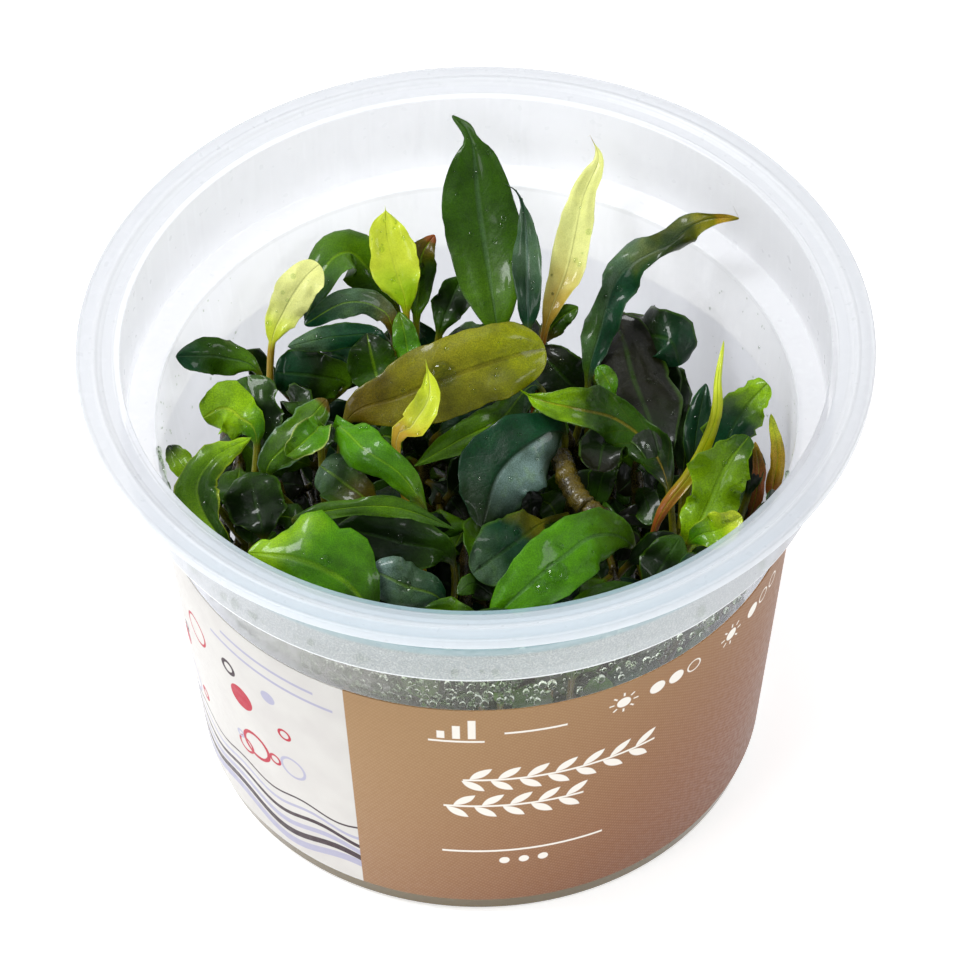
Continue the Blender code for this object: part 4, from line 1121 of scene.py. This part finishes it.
def shoot_leaf(number, chance, root, top):
    """A small leaf that leaves its shoot in a direction of its own and bends over outwards."""
    angle = number * 2.4 + chance.uniform(-0.4, 0.4)
    out = Vector((math.cos(angle), math.sin(angle), 0.0))
    reach = chance.uniform(5.0, 11.0)
    rise = chance.uniform(-1.0, 8.0)
    start = root + out * 2.5 + Vector((0, 0, min(4.0, 0.5 * rise + 1.0)))
    middle = start + out * reach * 0.55 + Vector((0, 0, rise * 0.6 + 1.0))
    tip = start + out * reach + Vector((0, 0, rise * 0.7))
    leaf = {
        "name": "small" + str(number),
        "width": chance.uniform(3.8, 8.0),
        "form": chance.choice(("ovate", "round", "lance")),
        "fold": chance.uniform(-14, 14),
        "wave": chance.uniform(0.2, 0.7),
        "roll": chance.uniform(-25, 25),
    }
    return leaf, [root, start, middle, tip]


def wall_leaf(number, chance, angle):
    """A leaf that grew up against the wall, flat to it, on a long stalk that stands in the gel."""
    out = Vector((math.sin(angle), -math.cos(angle), 0.0))
    aside = Vector((math.cos(angle), math.sin(angle), 0.0))
    low = chance.uniform(38.0, 50.0)
    height = chance.uniform(8.0, 14.0)
    lean = chance.uniform(-7.0, 7.0)
    inner = body_radius(low) - WALL
    depth = chance.choice((1.4, 1.6, 3.4))
    foot = out * (inner - 8.0) + Vector((0, 0, low - 12.0))
    start = out * (inner - depth - 2.4) + Vector((0, 0, low))
    middle = out * (inner - depth) + aside * (lean * 0.4) + Vector((0, 0, low + height * 0.5))
    tip = out * (inner - depth) + aside * lean + Vector((0, 0, low + height))
    leaf = {
        "name": "wall" + str(number),
        "width": chance.uniform(5.0, 9.0),
        "form": chance.choice(("ovate", "round")),
        "fold": chance.uniform(-10, 4),
        "wave": 0.3,
        "roll": math.degrees(angle),
    }
    return leaf, [foot, start, middle, tip]


def skin_tree(leaf, route):
    around, rings = COARSE
    points = coarse_points(leaf, route)
    faces = []
    for row in range(rings):
        for column in range(around):
            beside = (column + 1) % around
            faces.append((row * around + column, row * around + beside,
                          (row + 1) * around + beside, (row + 1) * around + column))
    return BVHTree.FromPolygons(points, faces), points


def inside_wall(points, clearance):
    return all(point.xy.length < body_radius(point.z) - WALL - clearance for point in points)


def small_leaf_skin(name, tones):
    return leaf_skin({"name": name, "tones": tones, "stalk": "bronze"})


def place_small_leaf(leaf, route, clearance, size):
    """Adds the leaf in one of the small leaves' finishes, unless it meets the wall or a leaf."""
    tree, points = skin_tree(leaf, route)
    if not inside_wall(points, clearance) or any(tree.overlap(other) for other in placed_trees):
        return
    placed_trees.append(tree)
    kind = chance.choices(range(len(SMALL_TONES)), weights=(4, 4, 2, 2, 1))[0]
    add_skin(small_meshes[kind], size, lambda turn, share: grown_leaf(leaf, route, turn, share),
             lambda share: blade_share(route, share))


# Named leaves that are only looks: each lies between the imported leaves, clear of them
EXTRA_LEAVES = [
    dict(name="front_thin", width=3.2, form="lance", fold=10, wave=0.5, lobes=0.4,
         tones=("forest", "moss", "forest"),
         route=[(-24, -12, 52), (-27, -16.5, 60), (-19, -16.2, 62), (-11.5, -16.5, 62), (-3.5, -19.5, 60.5)]),
    dict(name="right_dark_low", width=4.6, form="ovate", fold=8, tones=("bottle", "forest", "bottle"),
         route=[(30.5, -5, 44), (31.0, 0.5, 50), (31.5, 5, 53.5), (32, 9.5, 56)]),
    dict(name="edge_dark", width=3.8, form="ovate", fold=-8, tones=("bottle", "soot", "forest"),
         route=[(39, -8, 48), (40.3, -7.5, 54), (41, -5, 57), (41.3, -2.2, 59.5)]),
    dict(name="small_olive", width=3.8, form="ovate", fold=14, tones=("bronze", "forest", "moss"),
         route=[(8.5, 20.5, 50), (10, 22.5, 56), (12.5, 24.5, 59), (15.7, 25.5, 61)]),
    dict(name="above_bright", width=3.4, form="ovate", fold=16, tones=("grass", "moss", "grass"),
         route=[(20.5, 8, 54), (20.5, 7.5, 60.5), (19.5, 9, 62.5), (18.2, 10.5, 63.5)]),
]
BARE_RHIZOME = [(12.5, 1.0, 54), (13.5, -4, 54.5), (15.5, -8, 53.5), (19.5, -11.5, 52.5)]

chance = random.Random(11)
placed_trees = [skin_tree(leaf, leaf_routes[leaf["name"]])[0] for leaf in LEAVES]
small_meshes = [bmesh.new() for tones in SMALL_TONES]
for leaf in EXTRA_LEAVES:
    route = [Vector(point) for point in leaf["route"]]
    placed_trees.append(skin_tree(leaf, route)[0])
    bm = bmesh.new()
    add_skin(bm, FINE, lambda turn, share: grown_leaf(leaf, route, turn, share),
             lambda share: blade_share(route, share))
    mesh = mesh_of(bm, "extra_" + leaf["name"])
    mesh.materials.append(leaf_skin(leaf))
    piece("extra_" + leaf["name"], mesh, SLOTS.get(leaf["tones"][1], "leaf_dark"))

bare_route = [Vector(point) for point in BARE_RHIZOME]
bm = bmesh.new()
add_skin(bm, (16, 60), lambda turn, share: tube_point(bare_route, 1.7, turn, share), lambda share: share)
mesh = mesh_of(bm, "bare_rhizome")
mesh.materials.append(rhizome_finish)
piece("bare_rhizome", mesh, "stem")
placed_trees.append(BVHTree.FromPolygons([vert.co / MM for vert in mesh.vertices],
                                         [tuple(face.vertices) for face in mesh.polygons]))
shoots = bmesh.new()
for number in range(WALL_LEAVES):
    angle = math.radians(chance.uniform(-84, 84))
    place_small_leaf(*wall_leaf(number, chance, angle), 0.35, WALL_LEAF_SIZE)

leaf_number = 0
for x, y in SIDE_SHOOTS:
    height = chance.uniform(44.0, 52.0) if y < 18 else chance.uniform(40.0, 44.0)
    foot = Vector((x * 0.8, y * 0.8, GEL_TOP + GAP))
    knee = Vector((x, y, 34.0))
    top = Vector((x, y, height))
    shoot_route = [foot, knee, top]
    add_skin(shoots, SHOOT_SIZE, lambda turn, share: tube_point(shoot_route, 1.0, turn, share),
             lambda share: share)
    for step in range(SHOOT_LEAVES):
        leaf_number += 1
        root = Vector((x, y, height - 1.0 - step * SHOOT_SPACING))
        leaf, route = shoot_leaf(leaf_number, chance, root, top)
        place_small_leaf(leaf, route, WALL_CLEARANCE, SMALL_SIZE)

for kind, (bm, tones) in enumerate(zip(small_meshes, SMALL_TONES)):
    name = "small_leaves_" + str(kind + 1)
    mesh = mesh_of(bm, name)
    mesh.materials.append(small_leaf_skin(name, tones))
    piece(name, mesh, SLOTS.get(tones[1], "leaf_dark"))
shoot_mesh = mesh_of(shoots, "side_shoots")
shoot_mesh.materials.append(rhizome_finish)
piece("side_shoots", shoot_mesh, "stem")

# Water: beads on the leaves and a film of condensation on the wall above and round the leaves.
# Each bead is a flattened dome, wetted on to what it sits on.
DROPS = [
    ("big_olive", -0.12, 0.49, 2.2), ("big_olive", 0.55, 0.60, 0.5), ("big_olive", 0.35, 0.72, 0.45),
    ("big_olive", -0.7, 0.55, 0.4), ("tall_back", -0.3, 0.45, 0.5), ("tall_back", 0.3, 0.4, 0.55),
    ("tall_back", 0.6, 0.5, 0.5), ("tall_back", 0.2, 0.55, 0.4), ("tall_back", 0.75, 0.3, 0.8),
    ("long_wavy", 0.3, 0.4, 0.6), ("long_wavy", -0.2, 0.35, 0.5), ("long_wavy", 0.1, 0.3, 0.5),
    ("black_broad", 0.8, 0.7, 0.6), ("lime_upright", -0.4, 0.6, 0.5), ("upper_left_fold", 0.2, 0.7, 0.6),
    ("front_dark", 0.1, 0.5, 0.9), ("grey_teal", 0.3, 0.4, 0.8), ("front_right_green", -0.25, 0.62, 1.9),
    ("front_right_green", -0.3, 0.72, 1.4), ("front_bluish", 0.0, 0.6, 1.2),
    ("front_left_green", 0.2, 0.5, 1.0),
]


def bead_shape(around, rings):
    """A ball of water a millimetre in radius, with as many faces as its size needs."""
    bm = bmesh.new()
    bmesh.ops.create_uvsphere(bm, u_segments=around, v_segments=rings, radius=MM)
    for face in bm.faces:
        face.smooth = True
    return mesh_of(bm, "bead")


def add_bead(bm, place, up, radius, shape, flatness=0.55, slump=1.0):
    """A dome of water whose lower half is sunk in what it sits on."""
    turn = up.to_track_quat("Z", "Y").to_matrix().to_4x4()
    spread = Matrix.Diagonal((radius, radius * slump, radius * flatness, 1.0))
    bead = shape.copy()
    bead.transform(Matrix.Translation(place * MM) @ turn @ spread)
    join_shape(bm, bead)


def on_leaf(leaf, across, blade):
    """A point on the upper skin of a leaf, and the way that skin faces."""
    route = leaf_routes[leaf["name"]]
    lengths = [(end - start).length for start, end in zip(route, route[1:])]
    stalk = lengths[0] / sum(lengths)
    share = stalk + blade * (1.0 - stalk)
    turn = math.acos(across)
    point = grown_leaf(leaf, route, turn, share)
    beside = grown_leaf(leaf, route, turn - 0.1, share)
    ahead = grown_leaf(leaf, route, turn, share + 0.01)
    up = (beside - point).cross(ahead - point).normalized()
    return point, up if up.dot(FACING) > 0 else -up


def water_finish():
    finish, tree, shader = new_finish("water")
    uneven = use_group(tree, unevenness, {"Place": object_place(tree), "Size": 0.002})
    tree.links.new(ramp(tree, uneven["Soft"], 0.3, 0.7, 0.0, 0.04), shader.inputs["Roughness"])
    shader.inputs["Base Color"].default_value = tint(212, 222, 205)
    shader.inputs["Transmission Weight"].default_value = 1.0
    shader.inputs["IOR"].default_value = 1.36
    shader.inputs["Specular IOR Level"].default_value = 1.0
    # Light that falls on what is under a bead passes the bead
    shadow = add_node(tree, "ShaderNodeLightPath").outputs["Is Shadow Ray"]
    tree.links.new(sum_up(tree, "SUBTRACT", 1.0, shadow), shader.inputs["Alpha"])
    return finish


water = water_finish()
WALL_BEADS = 2400
fine_bead = bead_shape(8, 5)
bead = bead_shape(12, 8)
large_bead = bead_shape(24, 14)
leaf_named = {leaf["name"]: leaf for leaf in LEAVES}
bm = bmesh.new()
for name, across, blade, radius in DROPS:
    place, up = on_leaf(leaf_named[name], across, blade)
    add_bead(bm, place, up, radius, large_bead if radius > 1.0 else bead, 0.55)
chance = random.Random(3)
for leaf in LEAVES:
    if leaf["form"] == "spear":
        continue
    for number in range(int(leaf["width"] * 1.6)):
        place, up = on_leaf(leaf, chance.uniform(-0.85, 0.85), chance.uniform(0.12, 0.9))
        add_bead(bm, place, up, 0.18 + 0.4 * chance.random() ** 3, fine_bead)
mesh = mesh_of(bm, "leaf_drops")
mesh.materials.append(water)
piece("leaf_drops", mesh, "gel")

bm = bmesh.new()
chance = random.Random(8)
wall_bead = bead_shape(6, 4)
shoulder = SHOULDER_HEIGHT + WALL
for number in range(WALL_BEADS):
    front = number < WALL_BEADS * 0.95
    side = math.copysign(chance.uniform(70, 130), number % 2 - 0.5)
    left_angle = chance.uniform(-82, 6)
    angle = math.radians((left_angle if number % 5 else chance.uniform(0, 75)) if front else side)
    height = chance.uniform(51.5, 66.0) if front else chance.uniform(46.0, 64.0)
    radius = (body_radius(height) if height < shoulder else COLLAR_RADIUS) - WALL
    out = Vector((math.sin(angle), -math.cos(angle), 0.0))
    width = 0.12 + (0.75 if front else 0.12) * chance.random() ** 2.6
    add_bead(bm, out * radius + Vector((0, 0, height)), -out, width, wall_bead, 0.6, chance.uniform(0.9, 1.7))
mesh = mesh_of(bm, "wall_beads")
mesh.materials.append(water)
piece("wall_beads", mesh, "gel")

# Stage: a pale floor under soft lights, and the camera, which looks down on the cup from the front
# with a long lens.
CAMERA_ELEVATION = math.radians(47.13)
CAMERA_DISTANCE = 1.0
CAMERA_ROLL = math.radians(-0.91)
CAMERA_AIM = Vector((0.0, 0.0, 0.050))
CAMERA_LENS = 248.9
CAMERA_SHIFT = (0.0024, 0.0005)
LIGHTS = [
    dict(name="Overhead softbox", place=(-0.1, 0.5, 1.1), size=1.2, watts=2.0),
    dict(name="Key light", place=(-0.6, 0.0, 1.15), size=0.42, watts=9.0),
    dict(name="Front left softbox", place=(-0.9, -0.8, 0.8), size=0.5, watts=3.0),
    dict(name="Right light", place=(1.0, -0.3, 0.8), size=0.4, watts=2.5),
]


def floor_finish():
    finish, tree, shader = new_finish("pale_floor")
    uneven = use_group(tree, unevenness, {"Place": object_place(tree), "Size": 0.3})
    pale = mixed(tree, uneven["Soft"], tint(250, 250, 250), tint(252, 252, 252))
    tree.links.new(pale, shader.inputs["Base Color"])
    shader.inputs["Roughness"].default_value = 0.9
    shader.inputs["Specular IOR Level"].default_value = 0.1
    shader.inputs["Emission Color"].default_value = (1.0, 1.0, 1.0, 1.0)
    shader.inputs["Emission Strength"].default_value = 0.5
    finish.cycles.emission_sampling = "NONE"
    return finish


def white_room():
    """A room that looks white, and lights the object softly from all sides."""
    world = bpy.data.worlds.new("White room")
    world.use_nodes = True
    tree = world.node_tree
    ray = add_node(tree, "ShaderNodeLightPath").outputs
    lit = ramp(tree, ray["Is Glossy Ray"], 0.0, 1.0, 0.52, 0.10)
    strength = sum_up(tree, "ADD", lit, sum_up(tree, "MULTIPLY", ray["Is Camera Ray"], 0.48))
    background = tree.nodes["Background"]
    background.inputs["Color"].default_value = (0.97, 0.985, 1.0, 1.0)
    tree.links.new(strength, background.inputs["Strength"])
    bpy.context.scene.world = world


bm = bmesh.new()
bmesh.ops.create_circle(bm, cap_ends=True, radius=6.0, segments=64)
floor_mesh = bpy.data.meshes.new("floor")
bm.to_mesh(floor_mesh)
bm.free()
floor_mesh.materials.append(floor_finish())
floor = bpy.data.objects.new("floor", floor_mesh)
bpy.context.scene.collection.objects.link(floor)
white_room()

for light in LIGHTS:
    lamp = bpy.data.lights.new(light["name"], "AREA")
    lamp.size = light["size"]
    lamp.energy = light["watts"]
    lamp.color = (0.97, 0.985, 1.0)
    stand = bpy.data.objects.new(light["name"], lamp)
    stand.location = light["place"]
    aim = CAMERA_AIM - stand.location
    stand.rotation_euler = aim.to_track_quat("-Z", "Y").to_euler()
    bpy.context.scene.collection.objects.link(stand)

camera_data = bpy.data.cameras.new("Camera")
camera_data.lens = CAMERA_LENS
camera_data.sensor_width = 36.0
camera_data.shift_x, camera_data.shift_y = CAMERA_SHIFT
camera = bpy.data.objects.new("Camera", camera_data)
back = Vector((0.0, -math.cos(CAMERA_ELEVATION), math.sin(CAMERA_ELEVATION)))
facing = (-back).to_track_quat("-Z", "Y").to_matrix().to_4x4()
roll = Matrix.Rotation(CAMERA_ROLL, 4, "Z")
camera.matrix_world = Matrix.Translation(CAMERA_AIM + back * CAMERA_DISTANCE) @ facing @ roll
bpy.context.scene.collection.objects.link(camera)
bpy.context.scene.camera = camera
bpy.context.scene.view_settings.view_transform = "Standard"
